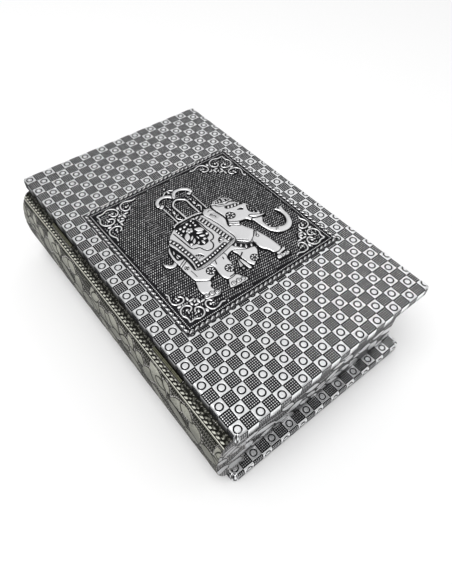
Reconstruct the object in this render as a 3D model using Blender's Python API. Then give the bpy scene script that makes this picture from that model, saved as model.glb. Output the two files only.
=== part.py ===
"""A keepsake box in the shape of a closed book, clad in embossed white-metal foil.

The world frame has its origin under the middle of the box, on the surface that the box
stands on.  +X runs from the rounded spine to the fore edge, +Y along the spine from the
near end to the far end, and +Z up.  Everything is in metres.
"""

import math

import bmesh
import bpy
from mathutils import Matrix, Vector

MM = 0.001

# Sizes of the foil, and the room that two touching pieces keep between them.
GAP = 0.3 * MM
FOIL = 0.5 * MM
WRAP = GAP + FOIL

# The covers. Their embossed checks are 6.15 mm, a little over 33 by 20 of them.
LID_WIDTH = 127.0 * MM
LID_LENGTH = 204.0 * MM
LID_TOP = 58.0 * MM
COVER = 7.1 * MM
LID_UNDER = LID_TOP - COVER
TURN_IN = 13.0 * MM

# The spine is a half-round bar: an ellipse of this depth about this centre line.
SPINE_DEPTH = 9.0 * MM
SPINE_CENTRE = 1.0 * MM
SPINE_MID_Z = 28.0 * MM
SPINE_TOP = 50.2 * MM
SPINE_LOWER_RADIUS = 22.4 * MM
SPINE_BACK = 8.7 * MM
SPINE_INSET = 3.0 * MM

# The lid's spine-side edge and near edge, placed so that the origin is in the middle.
LID_REAR_X = -(LID_WIDTH - (SPINE_DEPTH - SPINE_CENTRE)) / 2
NEAR_Y = -LID_LENGTH / 2

# The base board is a little longer than the lid, and stops short of its fore edge.
BASE_TOP = COVER
BASE_REAR = 0.9 * MM
BASE_SHORT = 2.15 * MM
BASE_PROUD = 1.3 * MM
BASE_UNDER = 0.5 * MM
PAD_THICK = 1.0 * MM

# The three page walls and the velvet inside them.
WALL = 6.0 * MM
END_INSET = 5.8 * MM
FORE_INSET = 7.4 * MM
WALL_TOP = LID_UNDER - GAP
LINING = 1.0 * MM
LINING_TOP = 49.9 * MM
LID_PAD = 1.5 * MM
LID_PAD_ROOM = 1.0 * MM

# The square embossed plaque, placed from the lid's near corner on the spine side.
PLAQUE_SIDE = 101.6 * MM
PLAQUE_FROM_REAR = 12.7 * MM
PLAQUE_FROM_NEAR = 51.0 * MM
PLAQUE_THICK = 0.4 * MM

# Rounding of the covers' edges and corners.
ROUND_OUTSIDE = 1.6 * MM
ROUND_INSIDE = 1.2 * MM
LID_CORNER = 1.8 * MM
BASE_CORNER = 3.0 * MM

# The two butt hinges.
HINGE_X = LID_REAR_X - 0.3 * MM
HINGE_Z = 49.4 * MM
HINGE_LENGTH = 23.0 * MM
HINGE_FROM_END = 49.5 * MM
BARREL_R = 1.2 * MM
BORE_R = 0.68 * MM
PIN_R = 0.6 * MM
LEAF_THICK = 0.8 * MM
LEAF_WIDTH = 7.5 * MM
SCREW_SPREAD = 14.0 * MM
SCREW_FROM_AXIS = 4.9 * MM
SCREW_HEAD_R = 1.3 * MM
SCREW_SHANK_R = 0.7 * MM
SCREW_CONE = 0.6 * MM
SCREW_TIP = 1.2 * MM
BOX_SCREW_LENGTH = 7.0 * MM
LID_SCREW_LENGTH = 4.6 * MM

CORNER_STEPS = 4
EDGE_STEPS = 4
ROUND_STEPS = 16
SCREW_STEPS = 12

METAL = ((0.62, 0.62, 0.63), 0.34, 1.0)
DARK_METAL = ((0.20, 0.19, 0.18), 0.45, 1.0)
BOARD = ((0.48, 0.34, 0.21), 0.85, 0.0)
VELVET = ((0.30, 0.02, 0.05), 0.95, 0.0)
FELT = ((0.05, 0.05, 0.055), 0.95, 0.0)


def clear_scene():
    for item in list(bpy.data.objects):
        bpy.data.objects.remove(item, do_unlink=True)


def material(name, look):
    """A plain surface of one colour, roughness and metallic value."""
    colour, roughness, metallic = look
    made = bpy.data.materials.get(name) or bpy.data.materials.new(name)
    made.use_nodes = True
    shader = made.node_tree.nodes["Principled BSDF"]
    shader.inputs["Base Color"].default_value = (*colour, 1.0)
    shader.inputs["Roughness"].default_value = roughness
    shader.inputs["Metallic"].default_value = metallic
    return made


def add_object(name, bm, look, smooth=False):
    """Put a finished bmesh in the scene under its own name and material."""
    bmesh.ops.recalc_face_normals(bm, faces=bm.faces)
    mesh = bpy.data.meshes.new(name)
    bm.to_mesh(mesh)
    bm.free()
    if smooth:
        mesh.shade_smooth()
        mesh.set_sharp_from_angle(angle=math.radians(40))
    made = bpy.data.objects.new(name, mesh)
    bpy.context.scene.collection.objects.link(made)
    made.data.materials.append(material(name + "_look", look))
    return made


def block(name, low, high, look, bevel=0.0):
    """A rectangular board between two opposite corners, with its edges eased."""
    bm = bmesh.new()
    bmesh.ops.create_cube(bm, size=1.0)
    size = Vector(high) - Vector(low)
    middle = (Vector(high) + Vector(low)) / 2
    bmesh.ops.scale(bm, vec=size, verts=bm.verts)
    bmesh.ops.translate(bm, vec=middle, verts=bm.verts)
    if bevel:
        bmesh.ops.bevel(bm, geom=list(bm.edges), offset=bevel, segments=1, affect="EDGES")
    return add_object(name, bm, look)


def loft(name, rings, look, smooth=False):
    """Skin a row of rings that have as many points as each other, and close both ends."""
    bm = bmesh.new()
    rows = [[bm.verts.new(point) for point in ring] for ring in rings]
    count = len(rows[0])
    for row, following in zip(rows, rows[1:]):
        for index in range(count):
            after = (index + 1) % count
            bm.faces.new((row[index], row[after], following[after], following[index]))
    bm.faces.new(rows[0])
    bm.faces.new(list(reversed(rows[-1])))
    return add_object(name, bm, look, smooth)


def combine(target, others, operation):
    """Join other objects to the target, or cut them out of it, for good."""
    for other in others:
        step = target.modifiers.new("join", "BOOLEAN")
        step.operation = operation
        step.solver = "EXACT"
        step.object = other
    evaluated = target.evaluated_get(bpy.context.evaluated_depsgraph_get())
    mesh = bpy.data.meshes.new_from_object(evaluated)
    target.modifiers.clear()
    target.data = mesh
    for other in others:
        bpy.data.objects.remove(other, do_unlink=True)
    return target


def outline(low, high, corner, inset, z):
    """A rectangle with round corners, drawn inward by inset, at height z."""
    radius = max(corner - inset, 0.05 * MM)
    points = []
    corners = (
        (high[0] - inset - radius, high[1] - inset - radius, 0),
        (low[0] + inset + radius, high[1] - inset - radius, 90),
        (low[0] + inset + radius, low[1] + inset + radius, 180),
        (high[0] - inset - radius, low[1] + inset + radius, 270),
    )
    for x, y, start in corners:
        for step in range(CORNER_STEPS + 1):
            angle = math.radians(start + 90 * step / CORNER_STEPS)
            points.append((x + radius * math.cos(angle), y + radius * math.sin(angle), z))
    return points


def edge_arc(radius, inset, z_flat, direction):
    """Insets and heights from a flat face, round its edge, to the upright side.

    direction is +1 where the flat face is on top and -1 where it is underneath.
    """
    pairs = []
    for step in range(EDGE_STEPS + 1):
        angle = math.radians(90 * step / EDGE_STEPS)
        pairs.append((
            inset + radius * (1 - math.sin(angle)),
            z_flat - direction * radius * (1 - math.cos(angle)),
        ))
    return pairs


def wrapped_foil(name, low, high, corner, top, under, round_top, round_under):
    """Foil over the top and the edges of a board, turned in underneath."""
    pairs = edge_arc(round_top, 0.0, top, 1)
    pairs += reversed(edge_arc(round_under, 0.0, under, -1))
    pairs.append((TURN_IN, under))
    pairs.append((TURN_IN, under + FOIL))
    pairs += edge_arc(round_under - FOIL, FOIL, under + FOIL, -1)
    pairs += reversed(edge_arc(round_top - FOIL, FOIL, top - FOIL, 1))
    rings = [outline(low, high, corner, inset, z) for inset, z in pairs]
    return loft(name, rings, METAL, smooth=True)


def covered_board(name, low, high, corner, top, under, round_top, round_under):
    """The board inside a wrapped foil."""
    pairs = edge_arc(round_top - WRAP, WRAP, top - WRAP, 1)
    pairs += reversed(edge_arc(max(round_under - WRAP, 0.1 * MM), WRAP, under + WRAP, -1))
    rings = [outline(low, high, corner, inset, z) for inset, z in pairs]
    return loft(name, rings, BOARD)


def rod(name, centre, radius, length):
    """A round bar along +Y."""
    bm = bmesh.new()
    bmesh.ops.create_cone(
        bm, cap_ends=True, segments=ROUND_STEPS, radius1=radius, radius2=radius, depth=length
    )
    bmesh.ops.rotate(bm, cent=(0, 0, 0), matrix=Matrix.Rotation(math.pi / 2, 3, "X"), verts=bm.verts)
    bmesh.ops.translate(bm, vec=Vector(centre), verts=bm.verts)
    return add_object(name, bm, DARK_METAL, smooth=True)


def lid_corners():
    low = (LID_REAR_X, NEAR_Y)
    high = (LID_REAR_X + LID_WIDTH, NEAR_Y + LID_LENGTH)
    return low, high


def base_corners():
    low = (LID_REAR_X - BASE_REAR, NEAR_Y - BASE_PROUD)
    high = (LID_REAR_X + LID_WIDTH - BASE_SHORT, NEAR_Y + LID_LENGTH + BASE_PROUD)
    return low, high


def hinge_centres():
    return (NEAR_Y + HINGE_FROM_END, NEAR_Y + LID_LENGTH - HINGE_FROM_END)


def screw_spots():
    """The places of the four screws of one body, two in each hinge."""
    spots = []
    for centre in hinge_centres():
        for side in (-0.5, 0.5):
            spots.append((HINGE_X + SCREW_FROM_AXIS, centre + side * SCREW_SPREAD))
    return spots


def turned(name, x, y, rows, look, smooth=True):
    """A round piece on an upright line, from rows of radius and height."""
    rings = []
    for radius, z in rows:
        ring = []
        for step in range(SCREW_STEPS):
            angle = 2 * math.pi * step / SCREW_STEPS
            ring.append((x + radius * math.cos(angle), y + radius * math.sin(angle), z))
        rings.append(ring)
    return loft(name, rings, look, smooth)


def screw_hole_cutters(z_low, z_high):
    """Clear room for the screws' shanks through what they hold."""
    radius = SCREW_SHANK_R + GAP
    rows = ((radius, z_low), (radius, z_high))
    return [turned("screw_hole", x, y, rows, DARK_METAL) for x, y in screw_spots()]


def make_lid():
    low, high = lid_corners()
    foil = wrapped_foil(
        "lid_foil", low, high, LID_CORNER, LID_TOP, LID_UNDER, ROUND_OUTSIDE, ROUND_INSIDE
    )
    board = covered_board(
        "lid_board", low, high, LID_CORNER, LID_TOP, LID_UNDER, ROUND_OUTSIDE, ROUND_INSIDE
    )
    screw_tip = LID_UNDER - GAP + LID_SCREW_LENGTH + GAP
    combine(foil, screw_hole_cutters(LID_UNDER - FOIL, LID_UNDER + WRAP), "DIFFERENCE")
    combine(board, screw_hole_cutters(LID_UNDER, screw_tip), "DIFFERENCE")

    plaque_x = LID_REAR_X + PLAQUE_FROM_REAR
    plaque_y = NEAR_Y + PLAQUE_FROM_NEAR
    plaque = block(
        "elephant_plaque",
        (plaque_x, plaque_y, LID_TOP + GAP),
        (plaque_x + PLAQUE_SIDE, plaque_y + PLAQUE_SIDE, LID_TOP + GAP + PLAQUE_THICK),
        METAL,
        bevel=0.1 * MM,
    )
    inside_low, inside_high = inside_corners()
    pad = block(
        "lid_lining",
        (inside_low[0] + LID_PAD_ROOM, inside_low[1] + LID_PAD_ROOM, WALL_TOP - LID_PAD),
        (inside_high[0] - LID_PAD_ROOM, inside_high[1] - LID_PAD_ROOM, WALL_TOP),
        VELVET,
        bevel=0.4 * MM,
    )
    return [foil, board, plaque, pad]


def make_base():
    low, high = base_corners()
    wrapped_foil(
        "base_foil", low, high, BASE_CORNER, BASE_TOP, BASE_UNDER, ROUND_OUTSIDE, ROUND_INSIDE
    )
    covered_board(
        "base_board", low, high, BASE_CORNER, BASE_TOP, BASE_UNDER, ROUND_OUTSIDE, ROUND_INSIDE
    )
    edge = TURN_IN + GAP
    block(
        "base_felt",
        (low[0] + edge, low[1] + edge, 0.0),
        (high[0] - edge, high[1] - edge, PAD_THICK),
        FELT,
        bevel=0.15 * MM,
    )


def spine_profile(depth):
    """The spine's section in X and Z, drawn inward by depth, from its top to its foot."""
    top = SPINE_TOP - depth
    foot = BASE_TOP + GAP + depth
    back = LID_REAR_X + SPINE_BACK
    centre = LID_REAR_X + SPINE_CENTRE
    points = [(back, top)]
    upper_radius = SPINE_TOP - SPINE_MID_Z
    foot_sine = (SPINE_MID_Z - BASE_TOP - GAP) / SPINE_LOWER_RADIUS
    foot_angle = math.asin(foot_sine)
    quarters = ((upper_radius, math.pi / 2, 0.0, 10), (SPINE_LOWER_RADIUS, 0.0, -foot_angle, 8))
    for radius, start, end, steps in quarters:
        for step in range(steps + 1):
            if step == 0 and radius == SPINE_LOWER_RADIUS:
                continue
            angle = start + (end - start) * step / steps
            normal = Vector((math.cos(angle) / SPINE_DEPTH, math.sin(angle) / radius))
            normal.normalize()
            x = centre - SPINE_DEPTH * math.cos(angle) + depth * normal.x
            z = SPINE_MID_Z + radius * math.sin(angle) - depth * normal.y
            points.append((x, z))
    points[-1] = (points[-1][0], foot)
    points.append((back, foot))
    return points


def spine_bar(name, depth, look, back_reach=0.0):
    """The half-round bar, drawn inward by depth; back_reach carries it past its back."""
    near = NEAR_Y + SPINE_INSET + depth
    far = NEAR_Y + LID_LENGTH - SPINE_INSET - depth
    profile = spine_profile(depth)
    profile[0] = (profile[0][0] + back_reach, profile[0][1])
    profile[-1] = (profile[-1][0] + back_reach, profile[-1][1])
    rings = [[(x, y, z) for x, z in profile] for y in (near, far)]
    return loft(name, rings, look, smooth=True)


def mortise_cutters():
    """Room in the spine's top for the two hinges."""
    cutters = []
    half = HINGE_LENGTH / 2 + GAP
    for centre in hinge_centres():
        low = (HINGE_X - BARREL_R - GAP, centre - half, HINGE_Z - BARREL_R - GAP)
        high = (LID_REAR_X + SPINE_BACK + 1 * MM, centre + half, LID_UNDER)
        cutters.append(block("mortise", low, high, DARK_METAL))
    return cutters


def make_spine():
    foil = spine_bar("spine_foil", 0.0, METAL)
    combine(foil, [spine_bar("inside", FOIL, METAL, back_reach=1 * MM)], "DIFFERENCE")
    combine(foil, mortise_cutters(), "DIFFERENCE")
    bar = spine_bar("spine_bar", WRAP, BOARD)
    combine(bar, mortise_cutters(), "DIFFERENCE")
    mortise_floor = HINGE_Z - BARREL_R - GAP
    deepest = HINGE_Z - BARREL_R + LEAF_THICK - BOX_SCREW_LENGTH - GAP
    combine(bar, screw_hole_cutters(deepest, mortise_floor + GAP), "DIFFERENCE")


def page_block():
    """Outside corners of the page walls' foil, in X and Y."""
    low = (LID_REAR_X + SPINE_BACK + GAP, NEAR_Y + END_INSET)
    high = (LID_REAR_X + LID_WIDTH - FORE_INSET, NEAR_Y + LID_LENGTH - END_INSET)
    return low, high


def inside_corners():
    """Corners of the room inside the velvet, in X and Y."""
    low, high = page_block()
    skin = WRAP + WALL + GAP + LINING
    return (low[0] + LINING, low[1] + skin), (high[0] - skin, high[1] - skin)


def make_walls():
    low, high = page_block()
    foot = BASE_TOP + GAP
    near = low[1] + WRAP
    far = high[1] - WRAP
    fore = high[0] - WRAP
    block("near_wall", (low[0], near, foot), (fore, near + WALL, WALL_TOP), BOARD)
    block("far_wall", (low[0], far - WALL, foot), (fore, far, WALL_TOP), BOARD)
    block(
        "fore_edge_wall",
        (fore - WALL, near + WALL + GAP, foot),
        (fore, far - WALL - GAP, WALL_TOP),
        BOARD,
    )
    block("near_wall_foil", (low[0], low[1], foot), (high[0], low[1] + FOIL, WALL_TOP), METAL)
    block("far_wall_foil", (low[0], high[1] - FOIL, foot), (high[0], high[1], WALL_TOP), METAL)
    block(
        "fore_edge_foil",
        (high[0] - FOIL, low[1] + WRAP, foot),
        (high[0], high[1] - WRAP, WALL_TOP),
        METAL,
    )


def make_linings():
    low, high = inside_corners()
    floor = BASE_TOP + GAP
    stand = floor + LINING + GAP
    ease = 0.25 * MM
    block(
        "floor_lining",
        (low[0] - LINING, low[1] - LINING, floor),
        (high[0] + LINING, high[1] + LINING, floor + LINING),
        VELVET,
        bevel=ease,
    )
    sides = {
        "spine_side_lining": ((low[0] - LINING, low[1] - LINING), (low[0], high[1] + LINING)),
        "fore_edge_lining": ((high[0], low[1] - LINING), (high[0] + LINING, high[1] + LINING)),
        "near_lining": ((low[0] + GAP, low[1] - LINING), (high[0] - GAP, low[1])),
        "far_lining": ((low[0] + GAP, high[1]), (high[0] - GAP, high[1] + LINING)),
    }
    for name, (corner, opposite) in sides.items():
        block(name, (*corner, stand), (*opposite, LINING_TOP), VELVET, bevel=ease)


def leaf(name, centre, z_low, knuckles, inner_face_up):
    """One hinge leaf: a plate, its share of the barrel, the bore and two countersunk holes.

    knuckles lists the ends of its stretches of barrel, as shares of the hinge's length.
    """
    start = centre - HINGE_LENGTH / 2
    z_high = z_low + LEAF_THICK
    plate = block(
        name,
        (HINGE_X + BARREL_R + GAP, start, z_low),
        (HINGE_X + LEAF_WIDTH, start + HINGE_LENGTH, z_high),
        DARK_METAL,
    )
    for share_low, share_high in knuckles:
        low = start + share_low * HINGE_LENGTH + (GAP / 2 if share_low > 0 else 0)
        high = start + share_high * HINGE_LENGTH - (GAP / 2 if share_high < 1 else 0)
        tab = block("tab", (HINGE_X, low, z_low), (HINGE_X + 2 * BARREL_R, high, z_high), DARK_METAL)
        middle = (HINGE_X, (low + high) / 2, HINGE_Z)
        barrel = rod("barrel", middle, BARREL_R, high - low)
        combine(plate, [tab, barrel], "UNION")
    cutters = [rod("bore", (HINGE_X, centre, HINGE_Z), BORE_R, 2 * HINGE_LENGTH)]
    shank = SCREW_SHANK_R + GAP
    mouth = z_high if inner_face_up else z_low
    into = -1 if inner_face_up else 1
    rows = (
        (SCREW_HEAD_R + 2 * GAP, mouth - into * GAP),
        (shank, mouth + into * SCREW_CONE),
        (shank, mouth + into * (LEAF_THICK + GAP)),
    )
    for side in (-0.5, 0.5):
        y = centre + side * SCREW_SPREAD
        cutters.append(turned("hole", HINGE_X + SCREW_FROM_AXIS, y, rows, DARK_METAL))
    return combine(plate, cutters, "DIFFERENCE")


def screws(name, z_seat, direction, length):
    """Four countersunk wood screws; direction is +1 where they point up."""
    rows = (
        (SCREW_HEAD_R, z_seat),
        (SCREW_SHANK_R, z_seat + direction * SCREW_CONE),
        (SCREW_SHANK_R, z_seat + direction * (length - SCREW_TIP)),
        (SCREW_SHANK_R / 5, z_seat + direction * length),
    )
    made = []
    for number, (x, y) in enumerate(screw_spots(), start=1):
        made.append(turned(name + "_" + str(number), x, y, rows, DARK_METAL))
    return made


def make_hinges():
    moving = []
    third = 1 / 3
    for side, centre in zip(("near", "far"), hinge_centres()):
        box_leaf_z = HINGE_Z - BARREL_R
        leaf(side + "_hinge_box_leaf", centre, box_leaf_z, ((0, third), (2 * third, 1)), True)
        lid_leaf_z = LID_UNDER - GAP - LEAF_THICK
        lid_leaf = leaf(
            side + "_hinge_lid_leaf", centre, lid_leaf_z, ((third, 2 * third),), False
        )
        moving.append(lid_leaf)
        pin_length = HINGE_LENGTH - 2 * GAP
        rod(side + "_hinge_pin", (HINGE_X, centre, HINGE_Z), PIN_R, pin_length)
    screws("box_screw", HINGE_Z - BARREL_R + LEAF_THICK, -1, BOX_SCREW_LENGTH)
    return moving + screws("lid_screw", LID_UNDER - GAP - LEAF_THICK, 1, LID_SCREW_LENGTH)


def hang_lid(pieces):
    """Parent what swings with the lid to an empty on the hinge axis."""
    pivot = bpy.data.objects.new("lid_pivot", None)
    pivot.location = (HINGE_X, 0.0, HINGE_Z)
    bpy.context.scene.collection.objects.link(pivot)
    bpy.context.view_layer.update()
    for piece in pieces:
        piece.parent = pivot
        piece.matrix_parent_inverse = pivot.matrix_world.inverted()


def main():
    clear_scene()
    make_base()
    make_spine()
    make_walls()
    make_linings()
    lid_pieces = make_lid()
    hang_lid(lid_pieces + make_hinges())


main()
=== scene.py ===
"""The looks of a keepsake box in the shape of a closed book, clad in embossed white metal.

Everything is in metres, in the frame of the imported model: the origin is under the middle
of the box, +X runs from the rounded spine to the fore edge, +Y along the spine from the
near end to the far end, and +Z up.
"""

import math

import bmesh
import bpy
import numpy as np
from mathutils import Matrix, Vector


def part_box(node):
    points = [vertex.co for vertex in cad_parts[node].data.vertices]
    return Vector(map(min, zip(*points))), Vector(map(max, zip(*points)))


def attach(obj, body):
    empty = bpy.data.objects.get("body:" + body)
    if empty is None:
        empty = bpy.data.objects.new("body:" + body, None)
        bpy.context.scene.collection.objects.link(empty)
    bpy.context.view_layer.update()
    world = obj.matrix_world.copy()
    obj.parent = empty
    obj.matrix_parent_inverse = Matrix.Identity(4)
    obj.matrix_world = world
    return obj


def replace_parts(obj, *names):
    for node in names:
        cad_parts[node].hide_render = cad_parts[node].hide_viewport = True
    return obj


MM = 0.001

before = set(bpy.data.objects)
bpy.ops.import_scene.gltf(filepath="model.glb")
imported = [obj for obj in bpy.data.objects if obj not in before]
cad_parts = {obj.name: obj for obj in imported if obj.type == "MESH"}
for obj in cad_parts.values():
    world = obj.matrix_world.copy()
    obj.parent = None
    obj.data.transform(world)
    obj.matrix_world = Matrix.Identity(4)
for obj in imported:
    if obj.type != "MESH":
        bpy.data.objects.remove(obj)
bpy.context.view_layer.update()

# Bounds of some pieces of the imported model. Checks are counted from the lid's near corner
# on the spine side.
LID_LOW, LID_HIGH = (Vector(corner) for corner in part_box("lid_foil"))
BASE_LOW, BASE_HIGH = (Vector(corner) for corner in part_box("base_foil"))
SPINE_LOW, SPINE_HIGH = (Vector(corner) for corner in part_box("spine_foil"))
PLAQUE_LOW, PLAQUE_HIGH = (Vector(corner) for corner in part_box("elephant_plaque"))
HINGE_LOW, HINGE_HIGH = (Vector(corner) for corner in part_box("far_hinge_box_leaf"))
CHECK = 6.15 * MM

# Edges and corners of the two covers, as the foil is folded over them, how far it is turned
# in underneath, and how deep and wide its creases at the corners are and where they fade.
ROUND_OUTSIDE = 1.6 * MM
ROUND_INSIDE = 1.2 * MM
LID_CORNER = 1.8 * MM
BASE_CORNER = 3.0 * MM
TURN_IN = 13.0 * MM
CREASE_DEPTH = 0.11 * MM
CREASE_WIDTH = 1.2 * MM
CREASE_FADE = 0.8 * MM

# The embossing of the checks: depths in metres, and widths as shares of a check.
CHECK_DEPTH = 0.24 * MM
RING_DEPTH = 0.15 * MM
RING_RADIUS = 0.287
RING_HALF_WIDTH = 0.052
RING_SLOPE = 0.012
RING_FLAT = 0.014
RING_SHIFT = 0.018
CENTRE_RADIUS = 0.13
CENTRE_RISE = 0.02 * MM
# The rounded edge of a raised check, inwards: half side, height in depths, and tone.
CHECK_EDGE = ((0.5, -1.0, 0.0), (0.496, -0.3, 0.4), (0.484, 0.0, 1.0), (0.470, 0.0, 1.0))
DOTS = 5
DOT_MARGIN = 0.066
DOT_FOOT = 0.17
DOT_INSET = 0.29
# Places on a quarter of a ring, and cuts that let a sheet bend over a cover's edge.
SIDE_STEPS = 6
EDGE_CUTS = 5
# More columns and rows of checks than either cover has, and those before which its raised
# checks have no ring; on the base that is none of them.
COLUMNS = range(-4, 26)
ROWS = range(-4, 38)
LID_PLAIN = 0
BASE_PLAIN = -9
# How much painted shade darkens the foil at the foot of a cover's side, against its top,
# and past the edge beside the spine.
SIDE_FOOT_SHADE = 0.35
SPINE_SIDE_SHADE = 0.58

# The floor and the lamp, and the room's brightness by height and from side to side.
FLOOR_RADIUS = 4.0
FLOOR_COLOUR = (0.97, 0.97, 0.97, 1.0)
LAMP_PLACE = (-0.5, -0.1, 1.6)
LAMP_AIM = (0, 0, 0.05)
LAMP_SIZE = 1.2
LAMP_POWER = 16.0
ROOM_BY_HEIGHT = (
    (0.0, 0.85), (0.25, 0.60), (0.42, 0.45), (0.54, 0.88), (0.67, 0.88), (0.80, 0.95), (1.0, 0.95),
)
ROOM_BY_SIDE = ((0.22, 0.71), (0.35, 0.73), (0.60, 0.98), (1.0, 0.98))

# How far the box's linings swell in the middle, the unevenness of the pads, the width of
# their rounded rims and the step of their grids.
PAD_CROWN = 0.2 * MM
PAD_WAVE = 0.05 * MM
PAD_RIM = 1.6 * MM
PAD_STEP = 3 * MM

# The photograph's camera: its frame, lens, place, angles in degrees, and nearest and
# farthest reach.
PHOTO_WIDTH = 452
PHOTO_HEIGHT = 584
FOCAL_PIXELS = 475.0
SENSOR = 36.0
CAMERA_PLACE = (-0.10741, -0.151475, 0.24571)
CAMERA_TURN = (37.314, -0.698, -38.594)
CLIP = (0.01, 50.0)

# Colours of clean, dulled and tarnished foil on the covers.
BRIGHT = (0.94, 0.95, 0.96)
MIDDLE = (0.20, 0.20, 0.205)
DARK = (0.018, 0.018, 0.02)
# Where dark, middle and bright foil lie on the scale of tone.
FOIL_STOPS = (0.30, 0.62, 0.93)
# How far broad clouds and a fine grain shift the foil's tone, and how rough its tarnish is.
WEAR_CLOUD = 0.06
WEAR_GRAIN = 0.12
TARNISH_ROUGHNESS = 0.62


def node_of(tree, kind, **values):
    """A new shader node with some of its settings or unlinked inputs set."""
    made = tree.nodes.new(kind)
    for name, value in values.items():
        if hasattr(made, name):
            setattr(made, name, value)
        else:
            made.inputs[name.replace("_", " ")].default_value = value
    return made


def new_material(name, roughness, metallic):
    """A material, its node tree and its shader."""
    made = bpy.data.materials.new(name)
    made.use_nodes = True
    shader = made.node_tree.nodes["Principled BSDF"]
    shader.inputs["Roughness"].default_value = roughness
    shader.inputs["Metallic"].default_value = metallic
    return made, made.node_tree, shader


def ramp_node(tree, factor, stops):
    """A colour ramp read at factor, with stops of place and colour."""
    ramp = tree.nodes.new("ShaderNodeValToRGB")
    while len(ramp.color_ramp.elements) < len(stops):
        ramp.color_ramp.elements.new(0.5)
    for element, (place, colour) in zip(ramp.color_ramp.elements, stops):
        element.position = place
        element.color = (*colour, 1.0)
    tree.links.new(factor, ramp.inputs["Fac"])
    return ramp.outputs["Color"]


def noise_node(tree, size, detail=3.0):
    """Noise whose features are about size metres across."""
    place = tree.nodes.new("ShaderNodeTexCoord")
    noise = node_of(tree, "ShaderNodeTexNoise", Scale=1.0 / size, Detail=detail)
    tree.links.new(place.outputs["Object"], noise.inputs["Vector"])
    return noise.outputs["Fac"]


def math_node(tree, operation, first, second):
    """A sum or another operation on two numbers or sockets."""
    made = tree.nodes.new("ShaderNodeMath")
    made.operation = operation
    for socket, value in zip(made.inputs, (first, second)):
        if isinstance(value, (int, float)):
            socket.default_value = value
        else:
            tree.links.new(value, socket)
    return made.outputs["Value"]


def span_node(tree, value, low, high):
    """value, from 0 to 1, spread over low to high."""
    made = tree.nodes.new("ShaderNodeMapRange")
    made.inputs["To Min"].default_value = low
    made.inputs["To Max"].default_value = high
    tree.links.new(value, made.inputs["Value"])
    return made.outputs["Result"]


def paint(tree, shader, factor, stops):
    """Colour a shader by a ramp read at factor."""
    tree.links.new(ramp_node(tree, factor, stops), shader.inputs["Base Color"])


def lit(colour, amount):
    """A colour made lighter or darker."""
    return tuple(min(1.0, amount * part) for part in colour)


def bump_node(tree, shader, height, distance, strength):
    """Bump a shader's surface by a height."""
    bump = node_of(tree, "ShaderNodeBump", Strength=strength, Distance=distance)
    tree.links.new(height, bump.inputs["Height"])
    tree.links.new(bump.outputs["Normal"], shader.inputs["Normal"])


def foil_material(name, bright, middle, dark, shine):
    """Embossed metal: bright where the tone is 1, tarnished where it is 0; some tones hold painted
    shade.
    """
    made, tree, shader = new_material(name, 0.3, 1.0)
    tone = node_of(tree, "ShaderNodeAttribute", attribute_name="tone").outputs["Fac"]
    cloud = noise_node(tree, 7 * MM)
    grain = noise_node(tree, 0.7 * MM, 5.0)
    clouds = span_node(tree, cloud, -WEAR_CLOUD, WEAR_CLOUD)
    wear = math_node(tree, "ADD", tone, clouds)
    wear = math_node(tree, "ADD", wear, span_node(tree, grain, -WEAR_GRAIN, WEAR_GRAIN))
    paint(tree, shader, wear, list(zip(FOIL_STOPS, (dark, middle, bright))))
    rough = math_node(tree, "ADD", span_node(tree, tone, TARNISH_ROUGHNESS, shine), clouds)
    tree.links.new(rough, shader.inputs["Roughness"])
    bump_node(tree, shader, grain, 0.05 * MM, 0.35)
    return made


def steel_material(name, colour, roughness):
    """Blackened steel with a faint grain and rubbed high spots."""
    made, tree, shader = new_material(name, roughness, 1.0)
    grain = noise_node(tree, 0.6 * MM, 6.0)
    paint(tree, shader, grain, ((0.35, colour), (0.7, lit(colour, 1.9))))
    tree.links.new(
        span_node(tree, grain, roughness - 0.1, roughness + 0.12), shader.inputs["Roughness"]
    )
    bump_node(tree, shader, grain, 0.03 * MM, 0.5)
    return made


def board_material(name, colour, grain_size):
    """Pressed board or raw wood, with fibres that show as streaks along +Y."""
    made, tree, shader = new_material(name, 0.85, 0.0)
    place = tree.nodes.new("ShaderNodeTexCoord")
    stretch = tree.nodes.new("ShaderNodeMapping")
    stretch.inputs["Scale"].default_value = (1.0, 0.12, 1.0)
    tree.links.new(place.outputs["Object"], stretch.inputs["Vector"])
    fibres = node_of(tree, "ShaderNodeTexNoise", Scale=1.0 / grain_size, Detail=8.0)
    tree.links.new(stretch.outputs["Vector"], fibres.inputs["Vector"])
    paint(tree, shader, fibres.outputs["Fac"], ((0.3, lit(colour, 0.6)), (0.65, colour)))
    bump_node(tree, shader, fibres.outputs["Fac"], 0.1 * MM, 0.6)
    return made


def cloth_material(name, colour, pile, sheen):
    """Short pile: soft mottling, a fine nap and a pale sheen at grazing angles."""
    made, tree, shader = new_material(name, 0.95, 0.0)
    shader.inputs["Sheen Weight"].default_value = sheen
    shader.inputs["Sheen Roughness"].default_value = 0.45
    shader.inputs["Sheen Tint"].default_value = (1.0, 0.75, 0.75, 1.0)
    nap = noise_node(tree, pile, 4.0)
    brushed = noise_node(tree, 14 * MM, 2.0)
    mixed = math_node(
        tree, "ADD", span_node(tree, nap, 0.0, 0.6), span_node(tree, brushed, 0.0, 0.4)
    )
    paint(
        tree, shader, mixed, ((0.3, lit(colour, 0.55)), (0.5, colour), (0.72, lit(colour, 1.5)))
    )
    bump_node(tree, shader, nap, 0.2 * MM, 0.8)
    return made


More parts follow.
